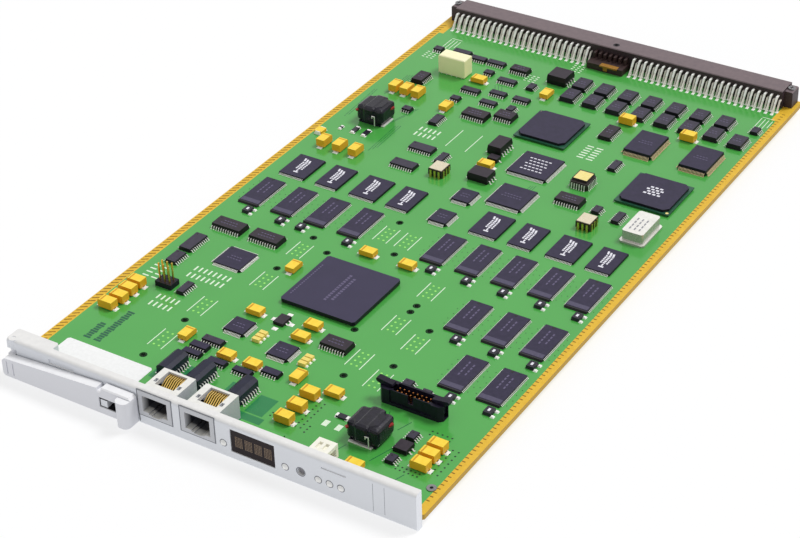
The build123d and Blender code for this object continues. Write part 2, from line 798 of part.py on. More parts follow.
tall_places = (
    (11.3, 65.9, 0), (11.5, 59.7, 0), (11.8, 53.2, 0), (10.7, 47.0, 0), (119.1, 38.1, 0), (119.1, 29.2, 0),
    (119.1, 20.3, 0), (179.4, 35.2, 0), (179.4, 28.9, 0), (179.5, 22.6, 0), (16.5, 265.8, 90),
    (22.9, 265.8, 90), (29.4, 265.8, 90), (15.2, 204.1, 90), (24.1, 204.1, 90), (32.9, 204.1, 90),
    (130.4, 291.6, 0), (162.2, 291.6, 0),
)
low_places = (
    (67.4, 74.2, 0), (94.1, 77.6, 0), (94.1, 68.4, 0), (52.5, 46.7, 90), (75.2, 42.9, 0), (88.0, 42.9, 0),
    (126.7, 43.9, 0), (108.5, 45.7, 90), (62.7, 109.3, 90), (84.4, 134.6, 0), (104.3, 134.7, 0),
    (91.8, 223.6, 0), (47.8, 261.6, 90), (48.3, 292.4, 0), (84.4, 296.0, 90), (157.6, 10.4, 0),
)


def tantalum(height):
    """One moulded capacitor body with a bevel along its marked end."""
    body = Box(tant_l, tant_w, height - terminal_t)
    body = body.moved(Location((0, 0, terminal_t + (height - terminal_t) / 2)))
    edge = body.edges().filter_by(Axis.Y).group_by(Axis.Z)[-1].sort_by(Axis.X)[0]
    return chamfer(edge, 0.6)


def tantalums(places, height):
    """Capacitor bodies at board places; turned ones lie along the card's depth."""
    body = tantalum(height)
    return group([body.moved(at(u, v) * Location((0, 0, 0), (0, 0, -turn))) for u, v, turn in places])


def tantalum_terminals():
    """Tinned end straps, folded under each capacitor body."""
    made = []
    for places in (tall_places, low_places):
        for u, v, turn in places:
            for side in (-1, 1):
                strap = Box(1.5, tant_w * 0.55, terminal_t)
                strap = strap.moved(Location((side * (tant_l / 2 - 0.45), 0, terminal_t / 2)))
                made.append(strap.moved(at(u, v) * Location((0, 0, 0), (0, 0, -turn))))
    return group(made)


def chip_resistors():
    """Loose chip parts: a wide resistor, two upright ones and two ferrite trios."""
    made = [Box(4.8, 2.6, 0.8).moved(at(137.4, 33.6, 0.4))]
    for u in (21.0, 27.2):
        made.append(Box(2.5, 5.0, 0.8).moved(at(u, 221.8, 0.4)))
    made.append(Box(1.6, 2.2, 0.6).moved(at(13.8, 220.6, 0.3)))
    made.append(Box(3.7, 4.2, 1.6).moved(at(7.4, 212.4, 0.8)))
    return group(made)


def ferrite_beads():
    """Two stacks of three pale beads."""
    made = []
    for u, v in ((79.2, 60.6), (104.8, 56.4)):
        for place in (-1, 0, 1):
            made.append(Box(3.6, 1.9, 1.6).moved(at(u, v + place * 2.5, 0.8)))
    return group(made)


inductor_places = ((23.8, 236.2), (153.1, 29.2))


def inductor_bases():
    """Flat tinned base plates under the two wound inductors."""
    made = []
    for u, v in inductor_places:
        plate = Box(inductor_w - 1.6, inductor_l - 1.0, inductor_base_t)
        made.append(plate.moved(at(u, v, inductor_base_t / 2)))
    return group(made)


def power_inductors():
    """The two taped inductors: eight-sided blocks with sloping shoulders."""
    made = []
    for u, v in inductor_places:
        body = Box(inductor_w, inductor_l, inductor_h)
        body = chamfer(body.edges().filter_by(Axis.Z), 3.0)
        body = chamfer(body.edges().group_by(Axis.Z)[-1], 1.5)
        made.append(body.moved(at(u, v, inductor_base_t + inductor_h / 2)))
    return group(made)


def line_transformers():
    """Three line transformers with bevelled tops, in a row behind the jacks."""
    made = []
    body_h = pulse_h - pulse_foot
    for u in pulse_places:
        body = Box(pulse_w, pulse_l, body_h)
        body = chamfer(body.edges().filter_by(Axis.Y).group_by(Axis.Z)[-1], 1.2, 1.6)
        made.append(body.moved(at(u, pulse_v, pulse_foot + body_h / 2)))
        for side in (-1, 1):
            foot = Box(0.8, pulse_l - 2.4, pulse_foot)
            made.append(foot.moved(at(u + side * pulse_w / 2, pulse_v, pulse_foot / 2)))
    return group(made)


def relay():
    """A tall sealed relay with a stepped foot."""
    body = Box(relay_w, relay_l, relay_h).moved(at(relay_u, relay_v, relay_foot + relay_h / 2))
    body = chamfer(body.edges().group_by(Axis.Z)[-1], 0.4)
    foot = Box(relay_w - 1.0, relay_l - 1.0, relay_foot)
    return body + foot.moved(at(relay_u, relay_v, relay_foot / 2))


def can_oscillator():
    """A metal-can oscillator on its flange."""
    flange = Box(12.0, 20.0, flange_t).moved(at(can_u, can_v, flange_t / 2))
    flange = chamfer(flange.edges().filter_by(Axis.Z), 1.0)
    can = Box(10.2, 18.0, can_h).moved(at(can_u, can_v, flange_t + can_h / 2))
    can = fillet(can.edges().filter_by(Axis.Z), 1.2)
    return flange + can


def ceramic_oscillators():
    """Two ceramic oscillators on folded leads."""
    made = []
    for u, v in ((76.3, 207.8), (155.8, 201.6)):
        made.append(Box(7.2, 8.0, oscillator_h).moved(at(u, v, oscillator_foot + oscillator_h / 2)))
        made.append(Box(5.6, 6.2, oscillator_foot).moved(at(u, v, oscillator_foot / 2)))
    return group(made)


def socketed_chip():
    """A small chip seated in a tall socket."""
    socket = Box(9.0, 9.6, 3.4).moved(at(138.0, 232.0, 1.7))
    socket = chamfer(socket.edges().filter_by(Axis.Z), 0.8)
    return socket + Box(7.4, 8.0, 1.1).moved(at(137.8, 232.6, 3.4 + 0.55))


def jumper_header():
    """The base of the jumper block."""
    return Box(8.4, 6.0, 2.5).moved(at(22.4, 72.6, 1.25))


def jumper_pins():
    """Two rows of tall jumper posts."""
    made = []
    for column in range(3):
        for row in (-1, 1):
            post = Box(0.6, 0.6, 8.6).moved(at(22.4 + (column - 1) * 2.54, 72.6 + row * 1.27, 2.5 + 4.3))
            made.append(post)
    return group(made)


def board_label():
    """The blank label stuck on the board behind the faceplate."""
    label = Box(label_w, label_l, label_t)
    label = chamfer(label.edges().filter_by(Axis.Z), 0.9)
    return label.moved(at(label_u, label_v, label_t / 2))


def nodes():
    """Every sub-part by its node name."""
    return {
        "circuit_board": circuit_board(),
        "faceplate": faceplate(),
        "faceplate_rivets": rivets(),
        "latch_lever": latch_lever(),
        "lever_pivot_pin": pivot_pin(),
        "line_jack_left": jack(jack_places[0]),
        "line_jack_right": jack(jack_places[1]),
        "jack_contacts": jack_contacts(),
        "display_module": display_module(),
        "display_window": display_window(),
        "lamp_lenses": lamp_lenses(),
        "corner_block": corner_block(),
        "reset_switch": reset_switch(),
        "reset_button": reset_button(),
        "backplane_connector": backplane_connector(),
        "connector_screws": connector_screws(),
        "connector_pins_left": connector_pins(-1),
        "connector_pins_right": connector_pins(1),
        "header_shroud": header_shroud(),
        "header_pins": header_pins(),
        "header_latch_left": header_latch(-1),
        "header_latch_right": header_latch(1),
        "header_pivots": header_pivots(),
        "processor": processor(),
        "ball_package_boards": ball_packages(),
        "ball_package_caps": ball_package_caps(),
        "quad_flat_packs": quad_flat_packs(),
        "flash_chips": flash_chips(),
        "memory_chips": memory_chips(),
        "memory_bypass_parts": bypass_parts(),
        "driver_chips": driver_chips(),
        "wide_chips": wide_chips(),
        "narrow_chips": narrow_chips(),
        "line_network_chips": line_network_chips(),
        "power_parts": power_parts(),
        "tall_tantalums": tantalums(tall_places, tant_high),
        "low_tantalums": tantalums(low_places, tant_low),
        "tantalum_terminals": tantalum_terminals(),
        "chip_resistors": chip_resistors(),
        "ferrite_beads": ferrite_beads(),
        "inductor_bases": inductor_bases(),
        "power_inductors": power_inductors(),
        "line_transformers": line_transformers(),
        "relay": relay(),
        "can_oscillator": can_oscillator(),
        "ceramic_oscillators": ceramic_oscillators(),
        "socketed_chip": socketed_chip(),
        "jumper_header": jumper_header(),
        "jumper_pins": jumper_pins(),
        "board_label": board_label(),
    }


os.makedirs("parts", exist_ok=True)
for name, shape in nodes().items():
    export_step(shape, f"parts/{name}.step")
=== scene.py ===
"""Dresses the interface card: mask, print, leads, finishes, light and camera.

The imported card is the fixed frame, in metres. Lengths here are millimetres until a piece is finished.
Places on the board are (u, v): u from the board's left edge and v from its front edge.
"""

from contextlib import contextmanager
from math import cos, pi, radians, sin
from typing import NamedTuple

import bmesh
import bpy
from mathutils import Matrix, Vector


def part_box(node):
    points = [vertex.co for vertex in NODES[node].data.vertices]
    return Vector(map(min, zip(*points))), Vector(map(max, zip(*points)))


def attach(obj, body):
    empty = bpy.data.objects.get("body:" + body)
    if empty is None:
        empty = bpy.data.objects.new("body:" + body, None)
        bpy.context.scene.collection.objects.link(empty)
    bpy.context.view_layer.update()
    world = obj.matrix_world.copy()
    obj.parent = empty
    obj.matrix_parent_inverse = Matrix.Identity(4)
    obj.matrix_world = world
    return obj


bl_info = {
    "name": "Interface card dressing",
    "version": (1, 0, 0),
    "blender": (4, 5, 0),
    "location": "View3D > Sidebar > Card",
    "description": "Adds mask, print, leads and finishes to the packed interface card",
    "category": "Object",
}

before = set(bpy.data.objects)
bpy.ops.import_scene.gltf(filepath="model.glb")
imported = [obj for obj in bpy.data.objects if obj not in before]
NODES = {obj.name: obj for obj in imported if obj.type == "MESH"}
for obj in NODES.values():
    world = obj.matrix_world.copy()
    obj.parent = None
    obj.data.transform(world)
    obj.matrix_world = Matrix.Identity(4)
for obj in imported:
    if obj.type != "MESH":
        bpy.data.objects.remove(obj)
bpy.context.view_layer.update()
MM = 0.001
# Thickness of ink, film and other thin marks
FILM = 0.03


def box_mm(node):
    """The lowest and highest corners of a CAD node, in millimetres."""
    low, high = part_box(node)
    return low / MM, high / MM


board_low, board_high = box_mm("circuit_board")
plate_low, plate_high = box_mm("faceplate")
lever_high = box_mm("latch_lever")[1]
TOP = board_high.z
LEFT = board_low.x
FRONT = board_low.y
BOARD_WIDTH = board_high.x - LEFT
BOARD_DEPTH = board_high.y - FRONT
# Front of the faceplate, and right end of the lever's window
PLATE_FACE = FRONT - 3.75
WINDOW_RIGHT = lever_high.x - 7.2
JACKS = ("line_jack_left", "line_jack_right")
PIN_FIELDS = ("connector_pins_left", "connector_pins_right")


# Shader helpers


def linear(hex_colour):
    """An sRGB hex colour as linear red, green, blue and alpha."""
    parts = [int(hex_colour[place:place + 2], 16) / 255 for place in (1, 3, 5)]
    return [(c / 12.92 if c <= 0.04045 else ((c + 0.055) / 1.055) ** 2.4) for c in parts] + [1.0]


def add(tree, kind, values=None, links=None, **settings):
    """Add a shader node, set its properties and sockets, and join its inputs."""
    made = tree.nodes.new(kind)
    for name, value in settings.items():
        setattr(made, name, value)
    for socket, value in (values or {}).items():
        made.inputs[socket].default_value = value
    for socket, source in (links or {}).items():
        tree.links.new(source, made.inputs[socket])
    return made


def maths(tree, operation, first, second=0.0):
    """The result of one sum on sockets or numbers."""
    node = add(tree, "ShaderNodeMath", operation=operation)
    for socket, value in enumerate((first, second)):
        if isinstance(value, bpy.types.NodeSocket):
            tree.links.new(value, node.inputs[socket])
        else:
            node.inputs[socket].default_value = value
    return node.outputs[0]


def noise(tree, place, grain, detail):
    """Soft noise of a grain size in millimetres."""
    return add(tree, "ShaderNodeTexNoise", {"Scale": 1 / (grain * MM), "Detail": detail},
               {"Vector": place}).outputs["Fac"]


def ranged(tree, value, start, end, low=0.0, high=1.0):
    """A socket's value carried from one range to another."""
    return add(tree, "ShaderNodeMapRange", {1: start, 2: end, 3: low, 4: high}, {0: value}).outputs[0]


def mixed(tree, factor, first, second):
    """A blend of two colours, each a hex value or a socket."""
    node = add(tree, "ShaderNodeMix", links={0: factor}, data_type="RGBA")
    for socket, value in ((6, first), (7, second)):
        if isinstance(value, str):
            node.inputs[socket].default_value = linear(value)
        else:
            tree.links.new(value, node.inputs[socket])
    return node.outputs[2]


def axes_of(tree, output):
    """The X, Y and Z of a texture coordinate."""
    coords = add(tree, "ShaderNodeTexCoord").outputs
    return add(tree, "ShaderNodeSeparateXYZ", links={0: coords[output]}).outputs


def blank(name):
    """A new material with an empty node tree."""
    material = bpy.data.materials.new(name)
    material.use_nodes = True
    material.node_tree.nodes.clear()
    return material, material.node_tree


# Finishes


class Finish(NamedTuple):
    """Two close colours and their roughness, with the grain and the bump in millimetres."""

    colour: str
    second: str
    roughness: float
    grain: float
    bump: float = 0.0
    metal: float = 0.0
    gloss: float = 0.35
    # Colour of the upright faces: painted shade on most finishes, a painted dark reflection on the nickel
    # can, and the display carrier's own black
    sides: str = ""


FINISHES = {
    # Mask over bare core, with no copper under it: darker and bluer than the rest
    "mask_over_core": Finish("#1E7D45", "#26854B", 0.26, 8.0),
    # Mask over etched bars: a deep bottle green
    "mask_over_etch": Finish("#0F5739", "#156040", 0.26, 2.0),
    # Routed tick marks in the bare strip: scorched brown
    "routed_tick": Finish("#7A560C", "#8E6716", 0.65, 1.0),
    # White epoxy ink over green: chalky, a little green shows through
    "silk_ink": Finish("#E9F7E3", "#D6EDD0", 0.6, 0.8),
    # Via caps under mask: yellow-green dots that catch the light
    "filled_via": Finish("#A4EE76", "#92E066", 0.35, 0.8),
    # Open via barrels: near-black points of painted shade
    "open_via": Finish("#0F2A1A", "#173522", 0.5, 0.5),
    # Painted shade round a drilled hole: bottle green, almost black
    "painted_hole_shade": Finish("#08260F", "#0D3016", 0.5, 1.0, gloss=0.1),
    # Polycarbonate blend: cool light grey with a fine spark-eroded grain, its upright faces in a cooler
    # painted shade, with painted shade on the catch behind the lever's window
    "moulded_plate_blend": Finish("#E3E2E1", "#EAE9E7", 0.5, 2.4, 0.02, sides="#E3E6EC"),
    # Acetal: waxy, whiter and cooler than the plate, with painted shade on its upright faces and inside the
    # lever's window
    "moulded_acetal": Finish("#ECECEF", "#F3F3F5", 0.42, 4.0, 0.01, sides="#DFE0E6"),
    # Glass-filled nylon: pale warm grey, dry to the eye, with painted shade on its upright faces and deep in
    # the mouth
    "jack_nylon": Finish("#E3E2DD", "#EDECE7", 0.58, 1.8, 0.02, sides="#C6C8CD"),
    # Warm white moulded nylon
    "warm_white_nylon": Finish("#EFEDDD", "#F6F4E8", 0.5, 2.0, 0.01),
    # Frosted clear light pipe: milky with a wet highlight
    "frosted_light_pipe": Finish("#FDFDFB", "#F4F4F1", 0.12, 1.5, gloss=0.6),
    # Glass-filled polyester: brown-grey, its upright sides darker in painted shade
    "glass_filled_polyester": Finish("#6B5D61", "#76676A", 0.5, 2.2, 0.03, sides="#35292D"),
    # Black glass-filled nylon with a soft sheen
    "black_filled_nylon": Finish("#110E1C", "#1B1728", 0.4, 1.5, 0.015, gloss=0.2),
    # Matt black: the chips' pin dots, and the painted shade of notches, screw slots, the rivet's well, the
    # memory chips' fronts and the lever's latch
    "matt_black_and_shade": Finish("#1B191C", "#242126", 0.62, 1.5),
    # The display's carrier: green mask on its upper edge, black at its sides
    "display_carrier": Finish("#459F44", "#50AB4C", 0.3, 2.0, sides="#1B191C"),
    # Smoked acrylic window, brown-black with a clean gloss
    "smoked_acrylic": Finish("#1A1014", "#23171B", 0.14, 9.0, gloss=0.15),
    # Unlit emitters behind the window: dull red-brown points
    "unlit_emitter": Finish("#8A7560", "#776451", 0.45, 1.0),
    # Grey moulded plunger
    "grey_plunger": Finish("#77757A", "#848287", 0.45, 1.0),
    # Painted shade of a narrow clearance seen edge-on: slate grey
    "clearance_shade": Finish("#777A82", "#84868E", 0.8, 1.0, gloss=0.1),
    # Grey marks stamped into metal
    "groove_shade": Finish("#8C8C92", "#98989E", 0.7, 1.0),
    # Transfer-moulded epoxy: purple-black with a fine matt grain, its upright sides near black in painted
    # shade
    "moulded_epoxy": Finish("#272239", "#322C44", 0.44, 2.2, 0.015, gloss=0.22, sides="#120F1A"),
    # Epoxy of another batch, more neutral, its upright sides near black in painted shade
    "driver_epoxy": Finish("#302B3B", "#3C3746", 0.44, 2.0, 0.015, gloss=0.25, sides="#15121A"),
    # Epoxy with a brown cast, its upright sides near black in painted shade
    "brown_epoxy": Finish("#29222B", "#342C35", 0.44, 2.0, 0.015, gloss=0.22, sides="#141015"),
    # Cast epoxy of the line transformers: navy black, softly glossy
    "transformer_epoxy": Finish("#14162A", "#1E2036", 0.36, 3.0, 0.02, gloss=0.25),
    # Flat sprayed lid: even, satin, slightly blue, its upright sides near black in painted shade
    "sprayed_lid": Finish("#332E47", "#38334C", 0.42, 12.0, gloss=0.22, sides="#17141F"),
    # Laser mark: the epoxy burnt a shade paler
    "laser_mark": Finish("#5A5370", "#675F7B", 0.62, 0.6),
    # Painted highlight on the front bevel of the memory chips
    "front_bevel_highlight": Finish("#48435A", "#524D64", 0.5, 1.0, gloss=0.3),
    # Pad-printed white ink, also the painted glint on the bypass parts
    "white_ink_and_glint": Finish("#E2E0EC", "#F0EFF6", 0.58, 0.6),
    # Thin green carrier of a ball-grid part
    "carrier_laminate": Finish("#1C4A38", "#245540", 0.36, 2.0),
    # Barrelled steel, dulled to a dark grey
    "dull_steel": Finish("#7C7C7E", "#8C8C8E", 0.4, 0.8, metal=0.8),
    # Tinned pins that stand behind the front row, a little darker in painted shade
    "shaded_tin": Finish("#E4DED4", "#EEE9E0", 0.4, 0.6, metal=0.05),
    # Solder-plated copper alloy: soft bright grey
    "tinned_copper_alloy": Finish("#EFEEEA", "#DAD9D3", 0.34, 0.6, metal=0.35),
    # Older plating on the large flat packs: warm tan
    "aged_plating": Finish("#E6CFAE", "#D2B890", 0.42, 0.6, metal=0.25),
    # Wet solder on pads and end caps: near white, with a small highlight
    "wet_solder": Finish("#FFFFFC", "#F6F5F0", 0.3, 0.5),
    # Gold flash over nickel
    "gold_flash": Finish("#EAC772", "#DBB45A", 0.28, 0.8, metal=1.0),
    # Reddish plated posts deep in the header
    "plated_copper_post": Finish("#C27F45", "#AE6D38", 0.32, 0.8, metal=1.0),
    # Moulded capacitor case: golden yellow, satin, its upright sides a deeper orange in painted shade
    "moulded_golden_case": Finish("#FBDC48", "#F8D036", 0.36, 2.0, 0.01, sides="#EFB026"),
    # The bar printed across the positive end: darker amber
    "polarity_bar": Finish("#D79A16", "#C98D10", 0.45, 1.0),
    # Unglazed bead ceramic: straw yellow
    "bead_ceramic": Finish("#F6E07C", "#ECD36A", 0.5, 0.8),
    # Black glass glaze
    "resistor_glaze": Finish("#1F1B28", "#2A2533", 0.22, 0.8, gloss=0.3),
    # Polyester tape over a wound core: black, glossy, softly wrinkled
    "polyester_tape": Finish("#0F0D18", "#1B1826", 0.27, 3.0, 0.12, gloss=0.3),
    # Red enamelled winding wire
    "enamelled_wire": Finish("#A32C26", "#8C221E", 0.28, 0.6),
    # Sealed relay case: cream, semi-matt, its upright sides painted a little darker and yellower for shade
    "sealed_relay_case": Finish("#FDFAD2", "#F9F5C6", 0.4, 2.5, 0.01, sides="#FBF7C4"),
    # Drawn nickel-plated can: bright, slightly brushed by handling, its upright sides grey with a painted
    # dark reflection
    "drawn_nickel_can": Finish("#F4F2EC", "#E6E4DE", 0.26, 2.0, 0.01, metal=0.5, sides="#B9B7B2"),
    # Fired ceramic package: dark warm grey
    "fired_ceramic": Finish("#1C1714", "#26201B", 0.42, 1.0),
    # Soldered oscillator lid: pale gold gone grey
    "soldered_lid": Finish("#E6DBC2", "#DACEB2", 0.3, 1.2, metal=0.3),
    # Dark socket moulding
    "socket_moulding": Finish("#25201F", "#302A28", 0.5, 1.5),
    # Yellowed paper dots
    "yellowed_label": Finish("#F6E69A", "#EEDC88", 0.6, 1.0),
    # Matt white label stock
    "white_label_stock": Finish("#F6F6F6", "#EFEFEF", 0.7, 1.4, 0.01),
    # Key block: dark brown moulding, darker still as painted shade of the connector
    "shaded_key_moulding": Finish("#2C1D1E", "#3A2826", 0.5, 1.2),
    # Amber strip of bare laminate and resin in front of the key
    "amber_resin": Finish("#A8782A", "#8F6320", 0.4, 1.0),
}


def jack_mouth_shade(node):
    """Painted shade in the depth of a line socket."""
    low, high = box_mm(node)
    return (low.x + 1, high.x - 1), (low.y + 0.4, low.y + 4.0), (TOP + 0.4, TOP + 7.6), "#15171E"


# Painted shade in deep places of a finish: limits across, the start and end of the shade along Y, limits up,
# and a colour
RECESS_SHADES = {
    "moulded_acetal": (
        ((WINDOW_RIGHT - 8.9, WINDOW_RIGHT + 0.1), (FRONT - 7.85, FRONT - 7.45), (5.1, 10.1), "#15151A"),
    ),
    "moulded_plate_blend": (
        ((WINDOW_RIGHT - 5.0, WINDOW_RIGHT + 0.6), (FRONT - 7.9, FRONT - 7.5), (4.4, 10.2), "#1B1B20"),
        ((WINDOW_RIGHT - 8.9, WINDOW_RIGHT - 5.0), (FRONT - 8.2, FRONT - 7.9), (8.8, 10.2), "#2B2B30"),
    ),
    "jack_nylon": tuple(jack_mouth_shade(node) for node in JACKS),
}


def finish(name):
    """A surface in two close colours, mottled at its grain size, with a fine bump where one is given.

    Upright faces take the colour given as sides, which on most finishes is painted shade.
    """
    look = FINISHES[name]
    material, tree = blank(name)
    place = add(tree, "ShaderNodeTexCoord").outputs["Object"]
    mottle = noise(tree, place, look.grain, 3.0)
    colour = mixed(tree, ranged(tree, mottle, 0.3, 0.7), look.colour, look.second)
    rough = ranged(tree, mottle, 0.2, 0.8, look.roughness - 0.05, look.roughness + 0.05)
    if look.sides:
        # Painted shade: upright faces blend towards the sides colour
        upward = ranged(tree, axes_of(tree, "Normal")["Z"], 0.2, 0.8)
        colour = mixed(tree, upward, look.sides, colour)
    body = add(tree, "ShaderNodeBsdfPrincipled", {"Metallic": look.metal, "Specular IOR Level": look.gloss},
               {"Base Color": colour, "Roughness": rough})
    if look.bump:
        fine = noise(tree, place, look.grain / 3, 4.0)
        raised = add(tree, "ShaderNodeBump", {"Strength": 0.4, "Distance": look.bump * MM}, {"Height": fine})
        tree.links.new(raised.outputs[0], body.inputs["Normal"])
    add(tree, "ShaderNodeOutputMaterial", links={"Surface": body.outputs[0]})
    return material


def paint_recess_shade(material, across, along, up, colour):
    """Paint shade into a recess: full strength from the second distance along Y, between limits on the other
    axes.
    """
    tree = material.node_tree
    body = next(node for node in tree.nodes if node.type == "BSDF_PRINCIPLED")
    source = body.inputs["Base Color"].links[0].from_socket
    axes = axes_of(tree, "Object")
    shade = ranged(tree, axes["Y"], along[0] * MM, along[1] * MM)
    for axis, limits in (("X", across), ("Z", up)):
        above = maths(tree, "GREATER_THAN", axes[axis], limits[0] * MM)
        below = maths(tree, "LESS_THAN", axes[axis], limits[1] * MM)
        shade = maths(tree, "MULTIPLY", shade, maths(tree, "MULTIPLY", above, below))
    tree.links.new(mixed(tree, shade, source, colour), body.inputs["Base Color"])


def masked_laminate():
    """Glass-epoxy board under glossy green mask, which stops short of the edges and leaves ochre strips, with
    painted shade on the walls of its holes.
    """
    settings = bpy.context.scene.card_board
    material, tree = blank("masked_laminate")
    place = add(tree, "ShaderNodeTexCoord").outputs["Object"]
    axes = axes_of(tree, "Object")
    left = (LEFT + settings.border_left) * MM
    right = (LEFT + BOARD_WIDTH - settings.border_right) * MM
    rear = (FRONT + settings.rear_strip_v) * MM
    behind = maths(tree, "MULTIPLY", maths(tree, "GREATER_THAN", axes["Y"], rear), settings.rear_strip * MM)
    right_of = maths(tree, "GREATER_THAN", axes["X"], maths(tree, "ADD", behind, left))
    left_of = maths(tree, "LESS_THAN", axes["X"], maths(tree, "SUBTRACT", right, behind))
    between = maths(tree, "MULTIPLY", right_of, left_of)
    flat = maths(tree, "GREATER_THAN", maths(tree, "ABSOLUTE", axes_of(tree, "Normal")["Z"]), 0.5)
    masked = maths(tree, "MULTIPLY", between, flat)
    mask = mixed(tree, noise(tree, place, 40.0, 2.0), "#459F44", "#50AB4C")
    bare = mixed(tree, noise(tree, place, 1.6, 3.0), "#D4A51C", "#EBC032")
    edge = mixed(tree, maths(tree, "SUBTRACT", 1.0, flat), bare, "#B28C1E")
    # Painted shade: upright faces inside the masked field, the walls of the holes, turn near black
    ahead = maths(tree, "GREATER_THAN", axes["Y"], (FRONT + 2) * MM)
    short = maths(tree, "LESS_THAN", axes["Y"], (FRONT + BOARD_DEPTH - 2) * MM)
    upright = maths(tree, "SUBTRACT", between, flat)
    bored = maths(tree, "MULTIPLY", maths(tree, "MULTIPLY", ahead, short), upright)
    barrel = mixed(tree, bored, edge, "#0A1C10")
    body = add(tree, "ShaderNodeBsdfPrincipled", {"Specular IOR Level": 0.5},
               {"Base Color": mixed(tree, masked, barrel, mask),
                "Roughness": ranged(tree, masked, 0.0, 1.0, 0.55, 0.17)})
    add(tree, "ShaderNodeOutputMaterial", links={"Surface": body.outputs[0]})
    return material


NODE_FINISHES = {
    "masked_laminate": ("circuit_board",),
    "moulded_plate_blend": ("faceplate", "lever_pivot_pin"),
    "moulded_acetal": ("latch_lever",),
    "dull_steel": ("faceplate_rivets", "connector_screws"),
    "shaded_tin": PIN_FIELDS,
    "jack_nylon": JACKS,
    "gold_flash": ("jack_contacts", "jumper_pins"),
    "plated_copper_post": ("header_pins",),
    "display_carrier": ("display_module",),
    "smoked_acrylic": ("display_window",),
    "frosted_light_pipe": ("lamp_lenses",),
    "warm_white_nylon": ("corner_block",),
    "black_filled_nylon": ("reset_switch", "header_shroud", "header_latch_left", "header_latch_right",
                           "header_pivots", "jumper_header", "inductor_bases"),
    "grey_plunger": ("reset_button",),
    "glass_filled_polyester": ("backplane_connector",),
    "sprayed_lid": ("processor",),
    "carrier_laminate": ("ball_package_boards",),
    "moulded_epoxy": ("ball_package_caps", "quad_flat_packs", "flash_chips", "memory_chips",
                      "line_network_chips"),
    "transformer_epoxy": ("line_transformers",),
    "driver_epoxy": ("driver_chips", "narrow_chips"),
    "brown_epoxy": ("wide_chips", "power_parts"),
    "resistor_glaze": ("memory_bypass_parts", "chip_resistors"),
    "moulded_golden_case": ("tall_tantalums", "low_tantalums"),
    "wet_solder": ("tantalum_terminals",),
    "bead_ceramic": ("ferrite_beads",),
    "polyester_tape": ("power_inductors",),
    "sealed_relay_case": ("relay",),
    "drawn_nickel_can": ("can_oscillator",),
    "fired_ceramic": ("ceramic_oscillators",),
    "socket_moulding": ("socketed_chip",),
    "white_label_stock": ("board_label",),
}
made_finishes = {}


def material_of(name):
    """One shared material for each finish."""
    if name not in made_finishes:
        material = finish(name) if name in FINISHES else masked_laminate()
        # Painted shade in the deep places of the finish
        for recess in RECESS_SHADES.get(name, ()):
            paint_recess_shade(material, *recess)
        made_finishes[name] = material
    return made_finishes[name]


# Geometry helpers, in millimetres


def at(u, v, height=0.0):
    """The model place over a board place."""
    return Vector((LEFT + u, FRONT + v, TOP + height))


def block(bm, low, high, bevel=0.0):
    """A box between two corners, with its edges bevelled where a size is given."""
    low, high = Vector(low), Vector(high)
    matrix = Matrix.Translation((low + high) / 2) @ Matrix.Diagonal((*(high - low), 1.0))
    verts = bmesh.ops.create_cube(bm, size=1.0, matrix=matrix)["verts"]
    if bevel:
        edges = {edge for vert in verts for edge in vert.link_edges}
        bmesh.ops.bevel(bm, geom=list(edges), offset=bevel, offset_type="OFFSET", segments=2, profile=0.5,
                        affect="EDGES", material=-1)
    return verts


def flat_mark(bm, u, v, width, depth, height=0.0, turn=0.0):
    """A thin printed bar centred on a board place."""
    centre = at(u, v, height)
    half = Vector((width / 2, depth / 2, 0))
    verts = block(bm, centre - half, centre + half + Vector((0, 0, FILM)))
    if turn:
        bmesh.ops.rotate(bm, cent=centre, matrix=Matrix.Rotation(radians(turn), 3, "Z"), verts=verts)


def face_mark(bm, left, right, below, above, film=FILM):
    """A thin mark on the front of the faceplate."""
    block(bm, (left, PLATE_FACE - film, below), (right, PLATE_FACE + 0.1, above))


def dot(bm, u, v, diameter, height=0.0, sides=8):
    """A thin printed dot."""
    matrix = Matrix.Translation(at(u, v, height + FILM / 2))
    bmesh.ops.create_cone(bm, cap_ends=True, segments=sides, radius1=diameter / 2, radius2=diameter / 2,
                          depth=FILM, matrix=matrix)


def rod(bm, start, end, diameter, sides=10):
    """A round bar between two points."""
    start, end = Vector(start), Vector(end)
    along = end - start
    turn = Vector((0, 0, 1)).rotation_difference(along).to_matrix().to_4x4()
    bmesh.ops.create_cone(bm, cap_ends=True, segments=sides, radius1=diameter / 2, radius2=diameter / 2,
                          depth=along.length, matrix=Matrix.Translation((start + end) / 2) @ turn)


def ring(bm, centre, inner, outer, sides=20, axis="Z"):
    """A thin flat ring between two diameters, turned from a small upright profile."""
    made = bmesh.ops.create_grid(bm, x_segments=1, y_segments=1, size=0.5)["verts"]
    upright = Matrix.Rotation(radians(90), 3, "X")
    bmesh.ops.rotate(bm, cent=(0, 0, 0), matrix=upright, verts=made)
    bmesh.ops.scale(bm, vec=((outer - inner) / 2, 1, FILM), verts=made)
    bmesh.ops.translate(bm, vec=((outer + inner) / 4, 0, 0), verts=made)
    face = made[0].link_faces[0]
    edges = list(face.edges)
    bmesh.ops.delete(bm, geom=[face], context="FACES_ONLY")
    known = set(bm.verts) - set(made)
    bmesh.ops.spin(bm, geom=made + edges, cent=(0, 0, 0), axis=(0, 0, 1), angle=2 * pi, steps=sides,
                   use_merge=True)
    turned = [vert for vert in bm.verts if vert not in known]
    if axis == "Y":
        bmesh.ops.rotate(bm, cent=(0, 0, 0), matrix=upright, verts=turned)
    bmesh.ops.translate(bm, vec=centre, verts=turned)


